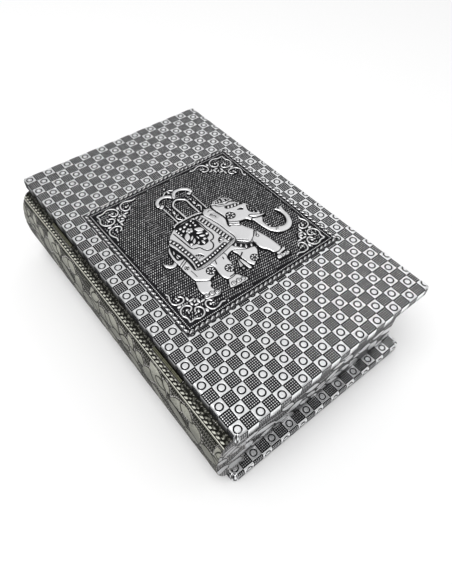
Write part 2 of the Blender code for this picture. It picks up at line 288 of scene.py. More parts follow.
LOOKS = {
    "check_foil": foil_material("check_foil", BRIGHT, MIDDLE, DARK, 0.27),
    "plaque_foil": foil_material("plaque_foil", (0.90, 0.90, 0.91), MIDDLE, DARK, 0.30),
    # The spine's leaf foil is the walls' foil tinted warm green: a painted reflection.
    "reflection_tinted_foil": foil_material(
        "reflection_tinted_foil", (0.86, 0.86, 0.76), (0.20, 0.20, 0.17), (0.016, 0.016, 0.013), 0.36
    ),
    "wall_foil": foil_material(
        "wall_foil", (0.80, 0.80, 0.81), (0.22, 0.22, 0.225), (0.02, 0.02, 0.022), 0.36
    ),
    "velvet": cloth_material("velvet", (0.26, 0.012, 0.035), 0.25 * MM, 0.8),
    "felt": cloth_material("felt", (0.045, 0.045, 0.05), 0.5 * MM, 0.3),
    "board": board_material("board", (0.46, 0.33, 0.21), 0.5 * MM),
    "wood": board_material("wood", (0.56, 0.40, 0.25), 0.9 * MM),
    "hinge": steel_material("hinge", (0.10, 0.10, 0.07), 0.2),
    "pin": steel_material("pin", (0.30, 0.29, 0.28), 0.3),
}
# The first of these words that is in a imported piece's name decides its material.
CAD_LOOKS = (
    ("pin", "pin"), ("hinge", "hinge"), ("screw", "hinge"), ("foil", "reflection_tinted_foil"),
    ("plaque", "plaque_foil"), ("lining", "velvet"), ("felt", "felt"),
    ("spine_bar", "wood"), ("board", "board"), ("wall", "board"),
)


def dress_cad_nodes():
    """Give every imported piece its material."""
    for name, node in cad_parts.items():
        look = next(look for word, look in CAD_LOOKS if word in name)
        node.data.materials.clear()
        node.data.materials.append(LOOKS[look])


def add_mesh(name, points, faces, look, body, tone=None, flat=None, smooth=None):
    """Make a piece from arrays: places, faces as rows of four, the last repeated in a
    triangle, the tone of each place, where each place lies on the flat sheet, and which
    faces are smooth, if not all."""
    points = np.asarray(points, float)
    faces = np.asarray(faces)
    three = faces[:, 2] == faces[:, 3]
    count = np.where(three, 3, 4)
    corners = faces[np.repeat(~three, 4).reshape(-1, 4) | (np.arange(4) < 3)]
    mesh = bpy.data.meshes.new(name)
    mesh.vertices.add(len(points))
    mesh.vertices.foreach_set("co", points.ravel())
    mesh.loops.add(len(corners))
    mesh.loops.foreach_set("vertex_index", corners.astype(np.int32))
    mesh.polygons.add(len(faces))
    starts = np.concatenate([[0], np.cumsum(count)[:-1]])
    mesh.polygons.foreach_set("loop_start", starts.astype(np.int32))
    mesh.update(calc_edges=True)
    smooth = np.ones(len(faces), bool) if smooth is None else smooth
    mesh.polygons.foreach_set("use_smooth", smooth)
    mesh.validate()
    if tone is not None:
        layer = mesh.attributes.new("tone", "FLOAT", "POINT")
        layer.data.foreach_set("value", np.clip(tone, 0.0, 1.0).astype(np.float32))
    if flat is not None:
        low = flat.min(axis=0)
        span = float(np.ptp(flat, axis=0).max())
        sheet = ((flat - low) / span * 0.996 + 0.002)[corners]
        mesh.uv_layers.new(name="OFBake").data.foreach_set("uv", sheet.astype(np.float32).ravel())
    made = bpy.data.objects.new(name, mesh)
    bpy.context.scene.collection.objects.link(made)
    made.data.materials.append(LOOKS[look])
    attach(made, body)
    return made


def grid_faces(rows, columns):
    """Faces of a grid whose points run along its columns first."""
    index = np.arange(rows * columns).reshape(rows, columns)
    return np.stack(
        [index[:-1, :-1], index[1:, :-1], index[1:, 1:], index[:-1, 1:]], -1
    ).reshape(-1, 4)


def band_faces(first, second, count):
    """Faces between two loops of count places, numbered from first and from second."""
    around = np.arange(count)
    after = (around + 1) % count
    return np.stack([first + around, first + after, second + after, second + around], 1)


def tip_faces(first, tip, count):
    """Triangles between a loop of count places and one more place."""
    around = np.arange(count)
    last = np.full(count, tip)
    return np.stack([first + around, first + (around + 1) % count, last, last], 1)


def square_loop(half):
    """SIDE_STEPS places on each side of a square, from its low corner, anticlockwise."""
    run = np.linspace(-half, half, SIDE_STEPS, endpoint=False)
    edge = np.full(SIDE_STEPS, half)
    return np.concatenate([
        np.stack([run, -edge], 1),
        np.stack([edge, run], 1),
        np.stack([-run, edge], 1),
        np.stack([-edge, -run], 1),
    ])


def ring_loop(radius):
    """As many places on a circle, which face those on the square."""
    count = 4 * SIDE_STEPS
    angle = np.radians(225.0) + 2 * np.pi * np.arange(count) / count
    return radius * np.stack([np.cos(angle), np.sin(angle)], 1)


def ring_tile(random, plain):
    """A raised square with a ring pressed into it, unless it is plain: places, heights,
    tones and faces."""
    outer = RING_RADIUS + RING_HALF_WIDTH
    inner = RING_RADIUS - RING_HALF_WIDTH
    depth = 0.0 if plain else RING_DEPTH * random.uniform(0.7, 1.15)
    pressed, beside = (0.95, 1.0) if plain else (0.0, 0.85)
    loops = [(square_loop(half), share * CHECK_DEPTH, tone) for half, share, tone in CHECK_EDGE]
    loops += [(ring_loop(radius), height, tone) for radius, height, tone in (
        (outer + RING_SLOPE + RING_FLAT, 0.0, 1.0), (outer + RING_SLOPE, 0.0, beside),
        (outer, -depth, pressed), (inner, -depth, pressed),
        (inner - RING_SLOPE, 0.0, beside), (inner - RING_SLOPE - RING_FLAT, 0.0, 1.0),
        (CENTRE_RADIUS, 0.0, 1.0),
    )]
    count = 4 * SIDE_STEPS
    shift = random.uniform(-RING_SHIFT, RING_SHIFT, 2)
    rubbed = random.uniform(0, 2 * np.pi)
    amount = 0.55 * max(0.0, random.uniform(-1.2, 1.0))
    angle = 2 * np.pi * np.arange(count) / count
    worn = amount * np.clip(np.cos(angle - rubbed), 0, 1) ** 2
    places, heights, tones = [], [], []
    ring = len(CHECK_EDGE)
    for number, (loop, height, tone) in enumerate(loops):
        places.append(loop + (shift if number >= ring else 0))
        heights.append(np.full(count, height))
        tones.append(np.full(count, tone) + (worn if number in (ring + 2, ring + 3) else 0))
    places.append(shift[None, :])
    heights.append([CENTRE_RISE])
    tones.append([random.uniform(0.85, 1.0)])
    last = (len(loops) - 1) * count
    faces = [band_faces(low, low + count, count) for low in range(0, last, count)]
    faces.append(tip_faces(last, last + count, count))
    return (
        np.concatenate(places), np.concatenate(heights), np.concatenate(tones),
        np.concatenate(faces),
    )


def dotted_tile(random):
    """A sunk dark square with rows of raised dots: places, heights, tones and faces."""
    step = (1.0 - 2 * DOT_MARGIN) / DOTS
    edge = np.linspace(-0.5, 0.5, 3)
    x, y = np.meshgrid(edge, edge, indexing="ij")
    floor = np.stack([x.ravel(), y.ravel()], 1)
    corner = DOT_MARGIN - 0.5 + step * np.arange(DOTS)
    x, y = np.meshgrid(corner, corner, indexing="ij")
    first = np.stack([x.ravel(), y.ravel()], 1)[:, None, :]
    signs = np.array(((0, 0), (1, 0), (1, 1), (0, 1)))
    foot = first + step * np.where(signs == 0, DOT_FOOT, 1 - DOT_FOOT)
    size = random.uniform(0.9, 1.1, (DOTS * DOTS, 1, 1))
    top = first + step * (0.5 + (signs - 0.5) * (1 - 2 * DOT_INSET) * size)
    places = np.concatenate([floor, foot.reshape(-1, 2), top.reshape(-1, 2)])
    count = DOTS * DOTS
    low = len(floor) + np.arange(4 * count).reshape(-1, 4)
    high = low + 4 * count
    heights = np.full(len(places), -CHECK_DEPTH)
    tones = np.zeros(len(places))
    tones[high.ravel()] = random.uniform(0.88, 1.0, count).repeat(4)
    heights[high.ravel()] = -CHECK_DEPTH * random.uniform(0.1, 0.25, count).repeat(4)
    faces = [grid_faces(3, 3), high]
    for side in range(4):
        turn = (side + 1) % 4
        faces.append(np.stack([low[:, side], low[:, turn], high[:, turn], high[:, side]], 1))
    return places, heights, tones, np.concatenate(faces)


def check_sheet(wanted, seed, plain_before):
    """A flat sheet of checks, in checks from the near corner, as one bmesh whose third
    coordinate is the relief in metres. wanted lists the column and row of each check;
    squares before plain_before have no ring."""
    random = np.random.default_rng(seed)
    places, heights, tones, faces, smooth = [], [], [], [], []
    total = 0
    for column, row in wanted:
        ringed = (column + row) % 2 == 0
        if ringed:
            place, height, tone, face = ring_tile(random, min(column, row) < plain_before)
        else:
            place, height, tone, face = dotted_tile(random)
        smooth += [ringed] * len(face)
        places.append(place + (column + 0.5, row + 0.5))
        heights.append(height)
        tones.append(tone)
        faces.append(face + total)
        total += len(place)
    places, heights, tones, faces = map(np.concatenate, (places, heights, tones, faces))
    key = np.round(places * 10000).astype(np.int64)
    _, first, merged = np.unique(key, axis=0, return_index=True, return_inverse=True)
    faces = merged.reshape(-1)[faces]
    bm = bmesh.new()
    tone_layer = bm.verts.layers.float.new("tone")
    verts = []
    for index in first:
        vert = bm.verts.new((places[index, 0], places[index, 1], heights[index]))
        vert[tone_layer] = tones[index]
        verts.append(vert)
    for face, rounded in zip(faces, smooth):
        made = bm.faces.new([verts[index] for index in dict.fromkeys(face.tolist())])
        made.smooth = rounded
    return bm


def cut(bm, place, normal, clear):
    """Cut a flat sheet along a line, and clear what lies on the normal's side."""
    bmesh.ops.bisect_plane(
        bm,
        geom=bm.verts[:] + bm.edges[:] + bm.faces[:],
        plane_co=(*place, 0.0),
        plane_no=(*normal, 0.0),
        clear_outer=clear,
    )


class Cover:
    """A board's foil: how a place on the flat sheet lies once it is folded over. arc and
    side are the lengths of its upper rounding and straight side, and folded and reach are
    how far past the flat top both roundings and the sheet itself go."""

    def __init__(self, low, high, corner, plain_before):
        self.low = low
        self.size = (high.x - low.x, high.y - low.y)
        self.top = high.z
        self.corner = corner
        self.plain_before = plain_before
        self.shift = (low.x - LID_LOW.x, low.y - LID_LOW.y)
        self.arc = ROUND_OUTSIDE * math.pi / 2
        self.side = high.z - low.z - ROUND_OUTSIDE - ROUND_INSIDE
        self.folded = self.arc + self.side + ROUND_INSIDE * math.pi / 2
        self.reach = self.folded + TURN_IN - ROUND_INSIDE - ROUND_OUTSIDE

    def profile(self, past):
        """Inset, drop and outward direction at a distance past the flat top's edge."""
        first = np.clip(past / ROUND_OUTSIDE, 0, np.pi / 2)
        second = np.clip((past - self.arc - self.side) / ROUND_INSIDE, 0, np.pi / 2)
        straight = np.clip(past - self.arc, 0, self.side)
        beyond = np.clip(past - self.folded, 0, None)
        inset = (
            ROUND_OUTSIDE * (1 - np.sin(first)) + ROUND_INSIDE * (1 - np.cos(second)) + beyond
            - np.minimum(past, 0)
        )
        drop = ROUND_OUTSIDE * (1 - np.cos(first)) + straight + ROUND_INSIDE * np.sin(second)
        turn = first + second
        return inset, drop, np.sin(turn), np.cos(turn)

    def fold(self, u, v, relief):
        """World places of sheet places u and v, which count from the outline's corner."""
        width, length = self.size
        across, along = np.array(u, float), np.array(v, float)
        x = np.array(u, float)
        y = np.array(v, float)
        z = self.top + relief
        for values, size, axis, sign in (
            (across, width, 0, -1), (across, width, 0, 1),
            (along, length, 1, -1), (along, length, 1, 1),
        ):
            past = ROUND_OUTSIDE - values if sign < 0 else values - size + ROUND_OUTSIDE
            over = past > 0
            inset, drop, out, up = self.profile(past)
            edge = inset if sign < 0 else size - inset
            moved = edge + sign * out * relief
            if axis == 0:
                x = np.where(over, moved, x)
            else:
                y = np.where(over, moved, y)
            z = np.where(over, self.top - drop + up * relief, z)
        return np.stack([self.low.x + x, self.low.y + y, z], 1)


def cut_sheet(bm, cover, under):
    """Cut a cover's sheet at its folds and clear what lies past them. Underneath, the
    corners are also mitred."""
    width, length = cover.size
    inner = ROUND_OUTSIDE
    if under:
        places = [inner - cover.reach, inner - cover.folded]
    else:
        places = [inner - cover.folded, cover.corner, inner - cover.arc]
        places += [inner - cover.arc * k / EDGE_CUTS for k in range(EDGE_CUTS)]
    for size, axis in ((width, 0), (length, 1)):
        for sign in (-1, 1):
            normal = [0, 0]
            normal[axis] = sign
            for number, place in enumerate(places):
                at = [0.0, 0.0]
                at[axis] = place if sign < 0 else size - place
                cut(bm, at, normal, clear=number == 0)
    fold_sum = inner + ROUND_INSIDE - cover.folded
    for sign_u in (-1, 1):
        for sign_v in (-1, 1):
            at = (fold_sum if sign_u < 0 else width - fold_sum, 0.0 if sign_v < 0 else length)
            cut(bm, at, (sign_u, sign_v), clear=under)


def clear_hidden(bm, cover, under):
    """Delete the faces that another mesh stands for: the part of the sheet that isn't
    turned in, or the corners, which are patches of their own."""
    width, length = cover.size
    unwanted = []
    for face in bm.faces:
        centre = face.calc_center_median()
        near_u = min(centre.x, width - centre.x)
        near_v = min(centre.y, length - centre.y)
        if under:
            if min(near_u, near_v) > ROUND_OUTSIDE - cover.folded:
                unwanted.append(face)
        elif max(near_u, near_v) < cover.corner:
            unwanted.append(face)
    bmesh.ops.delete(bm, geom=unwanted, context="FACES")
    bmesh.ops.triangulate(bm, faces=[face for face in bm.faces if len(face.verts) > 4])


def folded_cover(name, cover, wanted, seed, body, under):
    """The checkered foil over a cover, or its part that is turned in underneath."""
    bm = check_sheet(wanted, seed, cover.plain_before)
    for vert in bm.verts:
        vert.co.x = vert.co.x * CHECK - cover.shift[0]
        vert.co.y = vert.co.y * CHECK - cover.shift[1]
    cut_sheet(bm, cover, under)
    clear_hidden(bm, cover, under)
    tone_layer = bm.verts.layers.float["tone"]
    bm.verts.index_update()
    flat = np.array([vert.co[:] for vert in bm.verts])
    tone = np.array([vert[tone_layer] for vert in bm.verts])
    sheet = flat[:, :2]
    past = ROUND_OUTSIDE + np.maximum(-sheet.min(axis=1), (sheet - cover.size).max(axis=1))
    # Painted shade: darker down each cover's side to its foot, and past the edge by the spine.
    tone *= 1 - SIDE_FOOT_SHADE * np.clip((past - cover.arc) / cover.side, 0, 1)
    past_spine = (ROUND_OUTSIDE - flat[:, 0]) / cover.arc
    tone *= 1 - SPINE_SIDE_SHADE * np.clip(past_spine - 0.25, 0, 1)
    faces, smooth = [], []
    for face in bm.faces:
        corner = [vert.index for vert in face.verts]
        faces.append(corner if len(corner) == 4 else corner + corner[-1:])
        smooth.append(face.smooth)
    bm.free()
    return add_mesh(
        name, cover.fold(*flat.T), faces, "check_foil", body, tone=tone,
        flat=sheet, smooth=smooth,
    )


def checks_of(cover, under, hidden):
    edge = ROUND_OUTSIDE - cover.folded
    reach = ROUND_OUTSIDE - (cover.reach if under else cover.folded)
    wanted = []
    for column in COLUMNS:
        for row in ROWS:
            spans = []
            for number, size, shift in zip((column, row), cover.size, cover.shift):
                low = number * CHECK - shift
                spans.append((low, low + CHECK, size))
            if any(high < reach or low > size - reach for low, high, size in spans):
                continue
            if under:
                skip = all(low > edge and high < size - edge for low, high, size in spans)
            else:
                skip = all(
                    low > first and high < last
                    for (low, high, size), first, last in zip(spans, *hidden)
                )
            if not skip:
                wanted.append((column, row))
    return wanted


def creases(random, turn, past, inset):
    """How deep a corner's creases are, by the angle round it and the way down it."""
    waves = np.zeros(inset.shape)
    for _ in range(4):
        lean = random.uniform(-1, 1)
        waves += np.sin(
            random.uniform(5, 14) * turn[None, :] + lean * past[:, None] / CREASE_WIDTH
            + random.uniform(0, 6)
        )
    fade = np.clip(inset.max() - inset, 0, CREASE_FADE) / CREASE_FADE
    return CREASE_DEPTH * (0.5 + 0.5 * np.tanh(waves)) * np.sin(2 * turn)[None, :] ** 0.5 * fade


def corner_patches(name, cover, body):
    """The foil's creased corners, from the middle of their rounding to under the cover."""
    start = ROUND_OUTSIDE - cover.corner
    end = cover.folded + cover.corner - ROUND_INSIDE
    past = np.concatenate([
        np.linspace(start, 0, 4, endpoint=False),
        np.linspace(0, cover.arc, 7, endpoint=False),
        np.linspace(cover.arc, cover.arc + cover.side, 9, endpoint=False),
        np.linspace(cover.arc + cover.side, cover.folded, 5, endpoint=False),
        np.linspace(cover.folded, end, 4),
    ])
    turn = np.radians(np.linspace(0, 90, 19))
    shape = (len(past), len(turn))
    inset, drop, out, up = (
        np.broadcast_to(part[:, None], shape) for part in cover.profile(past)
    )
    random = np.random.default_rng(31)
    width, length = cover.size
    points, tones, flats, faces = [], [], [], []
    for number, (u, v) in enumerate(((-1, -1), (1, -1), (1, 1), (-1, 1))):
        crease = creases(random, turn, past, inset)
        radius = cover.corner - inset - out * crease
        x = radius * np.cos(turn)[None, :] * u
        y = radius * np.sin(turn)[None, :] * v
        centre = (
            cover.low.x + (cover.corner if u < 0 else width - cover.corner),
            cover.low.y + (cover.corner if v < 0 else length - cover.corner),
        )
        z = cover.top - drop - up * crease
        points.append(np.stack([centre[0] + x, centre[1] + y, z], -1).reshape(-1, 3))
        tones.append((0.95 - 0.75 * crease / CREASE_DEPTH).ravel())
        run = np.broadcast_to(past[:, None] - start, x.shape)
        across = np.broadcast_to(turn[None, :] * cover.corner, x.shape) + 6 * MM * number
        flats.append(np.stack([run, across], -1).reshape(-1, 2))
        rows = grid_faces(*x.shape)
        if u * v > 0:
            rows = rows[:, ::-1]
        faces.append(rows + number * x.size)
    add_mesh(
        name, np.concatenate(points), np.concatenate(faces), "check_foil", body,
        tone=np.concatenate(tones), flat=np.concatenate(flats),
    )


def make_cover(name, cover, hidden, seed, body):
    """A cover's whole foil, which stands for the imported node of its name."""
    for part, under in (("sheet", False), ("turn_in", True)):
        piece = folded_cover(
            name + "_" + part, cover, checks_of(cover, under, hidden), seed + under, body, under
        )
        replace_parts(piece, name)
    corner_patches(name + "_corners", cover, body)


def make_covers():
    """The checkered foil of the lid, round the plaque, and of the base, round the walls."""
    inside = 1.5 * CHECK
    lid = Cover(LID_LOW, LID_HIGH, LID_CORNER, LID_PLAIN)
    plaque = (
        (PLAQUE_LOW.x - LID_LOW.x + MM, PLAQUE_LOW.y - LID_LOW.y + MM),
        (PLAQUE_HIGH.x - LID_LOW.x - MM, PLAQUE_HIGH.y - LID_LOW.y - MM),
    )
    make_cover("lid_foil", lid, plaque, 11, "lid")
    base = Cover(BASE_LOW, BASE_HIGH, BASE_CORNER, BASE_PLAIN)
    walls = ((inside, inside), (base.size[0] - inside, base.size[1] - inside))
    make_cover("base_foil", base, walls, 41, "box")


def pad_stops(size, soft):
    """Grid lines across a pad, close together at its rounded rims."""
    rim = soft * (1 - np.cos(np.radians(np.linspace(0, 90, 6))))
    count = max(6, int(size / PAD_STEP))
    inside = np.linspace(soft, size - soft, count)[1:-1]
    return np.concatenate([rim, inside, size - rim[::-1]])


def velvet_pad(name, node, axis, front, look, crown, body):
    """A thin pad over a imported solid: flat behind, with rounded edges and a soft front.
    axis is across its thickness, and front the sign of the side that shows."""
    low, high = (np.array(corner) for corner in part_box(node))
    sides = [number for number in range(3) if number != axis]
    thick = high[axis] - low[axis]
    soft = min(1.4 * thick, PAD_RIM)
    stops = [pad_stops(high[side] - low[side], soft) for side in sides]
    a, b = np.meshgrid(*stops, indexing="ij")
    size_a, size_b = stops[0][-1], stops[1][-1]
    inset = np.minimum(np.minimum(a, size_a - a), np.minimum(b, size_b - b))
    rise = np.sqrt(1 - (1 - np.clip(inset / soft, 0, 1)) ** 2)
    dome = (np.sin(np.pi * a / size_a) * np.sin(np.pi * b / size_b)) ** 0.5
    wave = np.sin(a / (7 * MM)) * np.sin(b / (9 * MM) + 1.0)
    height = thick * rise + crown * dome + PAD_WAVE * wave * rise
    rows, columns = a.shape
    points = np.zeros((2, rows, columns, 3))
    points[..., sides[0]] = low[sides[0]] + a
    points[..., sides[1]] = low[sides[1]] + b
    back = low[axis] if front > 0 else high[axis]
    points[0, ..., axis] = back + front * height
    points[1, ..., axis] = back
    shape = grid_faces(rows, columns)
    faces = np.concatenate([shape, shape[:, ::-1] + rows * columns])
    index = np.arange(rows * columns).reshape(rows, columns)
    edge = np.concatenate([index[:-1, 0], index[-1, :-1], index[:0:-1, -1], index[0, :0:-1]])
    after = np.roll(edge, -1)
    rim = np.stack([edge, edge + index.size, after + index.size, after], 1)
    faces = np.concatenate([faces, rim])
    if (front > 0) != (axis != 1):
        faces = faces[:, ::-1]
    pad = add_mesh(name, points.reshape(-1, 3), faces, look, body)
    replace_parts(pad, node)


def make_linings():
    """The velvet inside the box and the lid, and the felt under the base."""
    velvet_pad("lid_pad", "lid_lining", 2, -1, "velvet", 0.0, "lid")
    for name, axis, front in (
        ("floor", 2, 1), ("near", 1, 1), ("far", 1, -1), ("spine_side", 0, 1), ("fore_edge", 0, -1),
    ):
        velvet_pad(
            name + "_pad", name + "_lining", axis, front, "velvet", PAD_CROWN, "box"
        )
    velvet_pad("felt_pad", "base_felt", 2, -1, "felt", 0.0, "box")


def make_camera():
    """The photograph's camera."""
    data = bpy.data.cameras.new("camera")
    camera = bpy.data.objects.new("camera", data)
    camera.location = CAMERA_PLACE
    camera.rotation_euler = [math.radians(angle) for angle in CAMERA_TURN]
    data.sensor_width = SENSOR
    data.lens = FOCAL_PIXELS * SENSOR / max(PHOTO_WIDTH, PHOTO_HEIGHT)
    data.clip_start, data.clip_end = CLIP
    bpy.context.scene.collection.objects.link(camera)
    bpy.context.scene.camera = camera


def make_stage():
    """A white floor that keeps the box's soft shadow."""
    bm = bmesh.new()
    bmesh.ops.create_circle(bm, cap_ends=True, segments=64, radius=FLOOR_RADIUS)
    mesh = bpy.data.meshes.new("floor")
    bm.to_mesh(mesh)
    bm.free()
    floor = bpy.data.objects.new("floor", mesh)
    bpy.context.scene.collection.objects.link(floor)
    white, _, shader = new_material("floor", 0.9, 0.0)
    shader.inputs["Base Color"].default_value = FLOOR_COLOUR
    floor.data.materials.append(white)


def make_light():
    """A wide soft lamp overhead, in a pale room that is dimmer at eye level."""
    world = bpy.data.worlds.new("room")
    bpy.context.scene.world = world
    world.use_nodes = True
    tree = world.node_tree
    place = tree.nodes.new("ShaderNodeTexCoord")
    parts = tree.nodes.new("ShaderNodeSeparateXYZ")
    tree.links.new(place.outputs["Generated"], parts.inputs["Vector"])
    both = tree.nodes.new("ShaderNodeVectorMath")
    both.operation = "MULTIPLY"
    for socket, part, levels in zip(both.inputs, "ZX", (ROOM_BY_HEIGHT, ROOM_BY_SIDE)):
        stops = [(at, (level, level, level)) for at, level in levels]
        tree.links.new(ramp_node(tree, parts.outputs[part], stops), socket)
    tree.links.new(both.outputs["Vector"], tree.nodes["Background"].inputs["Color"])
    data = bpy.data.lights.new("softbox", "AREA")
    data.shape = "DISK"
    data.size = LAMP_SIZE
    data.energy = LAMP_POWER
    lamp = bpy.data.objects.new("softbox", data)
    lamp.location = LAMP_PLACE
    aim = Vector(LAMP_AIM) - lamp.location
    lamp.rotation_euler = aim.to_track_quat("-Z", "Y").to_euler()
    bpy.context.scene.collection.objects.link(lamp)


# Drawn reliefs. Their shapes are in millimetres on the flat foil.

def smooth_line(points, closed=False, steps=5):
    """Places along a smooth curve through the points, which keeps to them at sharp turns,
    or the points themselves if there are no steps."""
    through = np.array(points, float)
    if not steps:
        return through
    if closed:
        through = np.vstack([through[-1], through, through[0], through[1]])
    else:
        through = np.vstack([
            2 * through[0] - through[1], through, 2 * through[-1] - through[-2]
        ])
    rows = []
    for a, b, c, d in zip(through, through[1:], through[2:], through[3:]):
        knots = np.cumsum([0] + [
            max(float(np.hypot(*(q - p))), 1e-6) ** 0.5 for p, q in ((a, b), (b, c), (c, d))
        ])
        t = np.linspace(knots[1], knots[2], steps, endpoint=False)[:, None]
        first = a + (b - a) * t / knots[1]
        second = b + (c - b) * (t - knots[1]) / (knots[2] - knots[1])
        third = c + (d - c) * (t - knots[2]) / (knots[3] - knots[2])
        left = first + (second - first) * t / knots[2]
        right = second + (third - second) * (t - knots[1]) / (knots[3] - knots[1])
        rows.append(left + (right - left) * (t - knots[1]) / (knots[2] - knots[1]))
    if not closed:
        rows.append(through[-2][None])
    return np.vstack(rows)


def at_angle(x, y, radius, turn):
    """The place at a radius and an angle from another."""
    return x + radius * math.cos(turn), y + radius * math.sin(turn)


def line_distance(x, y, points):
    """Distance of each place to a row of straight runs."""
    best = np.full(x.shape, np.inf)
    for (ax, ay), (bx, by) in zip(points, points[1:]):
        dx, dy = bx - ax, by - ay
        share = np.clip(((x - ax) * dx + (y - ay) * dy) / max(dx * dx + dy * dy, 1e-12), 0, 1)
        best = np.minimum(best, np.hypot(x - ax - share * dx, y - ay - share * dy))
    return best


def depth_inside(x, y, outline):
    """How far each place is inside a closed outline, or minus how far outside it is."""
    crossed = np.zeros(x.shape, bool)
    following = np.roll(outline, -1, axis=0)
    for (ax, ay), (bx, by) in zip(outline, following):
        if ay != by:
            level = (ay > y) != (by > y)
            crossed ^= level & (x < (bx - ax) * (y - ay) / (by - ay) + ax)
    distance = line_distance(x, y, np.vstack([outline, outline[:1]]))
    return np.where(crossed, distance, -distance)


# The depth of a place that no form is near, how far a form's own mesh reaches past it, and
# how far past a form and its halo the places are worked out.
FAR = 1000.0
SKIRT = 0.45
WINDOW_MARGIN = 0.5
# The line pressed round a form, and the sides of forms that stand free.
HALO_DEPTH = 0.16
HALO_DARKNESS = 0.92
SIDE_SLOPE = 1.3
LOWEST = -0.4


class Relief:
    """A relief over places x and y of a flat sheet, in millimetres: its height, its tone, from 0 for
    tarnished to 1 for bright, on the spine also painted shade, and how deep each place is inside the
    drawn forms."""

    def __init__(self, x, y, height=0.0, tone=0.0, drawn=True):
        self.x, self.y = x, y
        self.places = (x, y)
        self.height = np.full(x.shape, float(height))
        self.tone = np.full(x.shape, float(tone))
        self.depth = np.full(x.shape, FAR if drawn else -FAR)

    def aim(self, shift):
        """Draw what follows moved by a shift."""
        self.x = self.places[0] - shift[0]
        self.y = self.places[1] - shift[1]

    def window(self, points, margin):
        """The rows and columns of the grid that hold the points, or none."""
        low = np.min(points, axis=0) - margin
        high = np.max(points, axis=0) + margin
        hit = (self.x > low[0]) & (self.x < high[0]) & (self.y > low[1]) & (self.y < high[1])
        rows = np.flatnonzero(hit.any(axis=1))
        columns = np.flatnonzero(hit.any(axis=0))
        if not len(rows):
            return slice(0), slice(0)
        return slice(rows[0], rows[-1] + 1), slice(columns[0], columns[-1] + 1)

    def raise_form(self, part, depth, base, rise, shoulder, tone, halo):
        """Raise a form whose inside is where depth is positive, and press a line round it,
        halo wide."""
        height, shade = self.height[part], self.tone[part]
        curve = np.sqrt(1 - (1 - np.clip(depth / shoulder, 0, 1)) ** 2)
        inside = depth > 0
        beside = np.clip(1 + depth / halo, 0, 1) * ~inside
        height -= HALO_DEPTH * beside
        shade *= 1 - HALO_DARKNESS * beside
        height[inside] = (base + rise * curve)[inside]
        edge = np.clip(depth / min(0.22, 0.3 * shoulder), 0.25, 1)
        shade[inside] = (tone * edge)[inside]
        self.depth[part] = np.maximum(self.depth[part], depth)

    def form(self, points, base, rise, shoulder, tone=1.0, steps=5, halo=0.42):
        """A swelling form with a smooth closed outline through the points."""
        outline = smooth_line(points, True, steps)
        part = self.window(outline, halo + WINDOW_MARGIN)
        depth = depth_inside(self.x[part], self.y[part], outline)
        self.raise_form(part, depth, base, rise, shoulder, tone, halo)

    def rib(self, points, half_width, base, rise, tone=1.0, taper=False, steps=5, halo=0.25):
        """A raised line through the points, which thins towards its ends if it tapers."""
        line = smooth_line(points, False, steps)
        part = self.window(line, half_width + halo + WINDOW_MARGIN)
        x, y = self.x[part], self.y[part]
        if taper:
            depth = np.full(x.shape, -FAR)
            count = len(line) - 1
            for number in range(count):
                share = (number + 0.5) / count
                wide = half_width * (0.25 + 0.75 * math.sin(math.pi * share) ** 0.6)
                run = line[number:number + 2]
                depth = np.maximum(depth, wide - line_distance(x, y, run))
        else:
            depth = half_width - line_distance(x, y, line)
        self.raise_form(part, depth, base, rise, half_width, tone, halo)

    def press_in(self, part, press, deep, tone):
        """Lower a part by a share of deep, and move its tone by that share to another."""
        self.height[part] -= deep * press
        self.tone[part] += (tone - self.tone[part]) * press

    def engrave(self, points, half_width, deep, tone=0.04, steps=5):
        """A dark line pressed into what is there."""
        line = smooth_line(points, False, steps)
        part = self.window(line, half_width + WINDOW_MARGIN)
        distance = line_distance(self.x[part], self.y[part], line)
        press = np.clip(1.4 - 1.4 * distance / half_width, 0, 1)
        self.press_in(part, press, deep, tone)

    def sink(self, points, deep, tone=0.05, steps=5):
        """Press the inside of an outline down and darken it."""
        outline = smooth_line(points, True, steps)
        part = self.window(outline, WINDOW_MARGIN)
        depth = depth_inside(self.x[part], self.y[part], outline)
        press = np.clip(depth / 0.25 + 0.5, 0, 1)
        self.press_in(part, press, deep, tone)

    def rosette(self, x, y, radius, petals, base, turned=0.0):
        """A dark disc with bright petals round a bead."""
        turns = np.linspace(0, 2 * math.pi, 24, endpoint=False)
        circle = [at_angle(x, y, radius, turn) for turn in turns]
        self.sink(circle, 0.25, tone=0.02, steps=0)
        for number in range(petals):
            angle = turned + 360.0 * number / petals
            start = at_angle(x, y, 0.30 * radius, math.radians(angle))
            wide = 0.46 * radius * math.sin(math.pi / petals)
            self.leaf(*start, angle, 0.62 * radius, wide, base, 0.2, halo=0.1)
        self.bead(x, y, 0.14 * radius, base, 0.2, tone=0.6)

    def bead(self, x, y, radius, base, rise, tone=1.0, halo=0.25):
        """A round bead."""
        part = self.window([(x, y)], radius + halo + WINDOW_MARGIN)
        depth = radius - np.hypot(self.x[part] - x, self.y[part] - y)
        self.raise_form(part, depth, base, rise, radius, tone, halo)

    def leaf(self, x, y, angle, length, half_width, base, rise, tone=1.0, halo=0.3):
        """A pointed leaf that grows from a place at an angle in degrees."""
        turn = math.radians(angle)
        tip = at_angle(x, y, length, turn)
        part = self.window([(x, y), tip], half_width + halo + WINDOW_MARGIN)
        dx, dy = self.x[part] - x, self.y[part] - y
        along = (dx * math.cos(turn) + dy * math.sin(turn)) / length
        across = -dx * math.sin(turn) + dy * math.cos(turn)
        wide = half_width * np.sin(np.pi * np.clip(along, 0, 1) ** 0.85) ** 0.85
        past = np.maximum(np.maximum(-along, along - 1), 0) * length
        depth = np.where(past > 0, -np.hypot(past, across), (wide - np.abs(across)) * 0.85)
        self.raise_form(part, depth, base, rise, min(half_width, 0.8), tone, halo)

    def under_edges(self):
        """Carry the sides of free-standing forms down under the ground."""
        outside = self.depth <= 0
        self.height[outside] = np.maximum(SIDE_SLOPE * self.depth[outside], LOWEST)


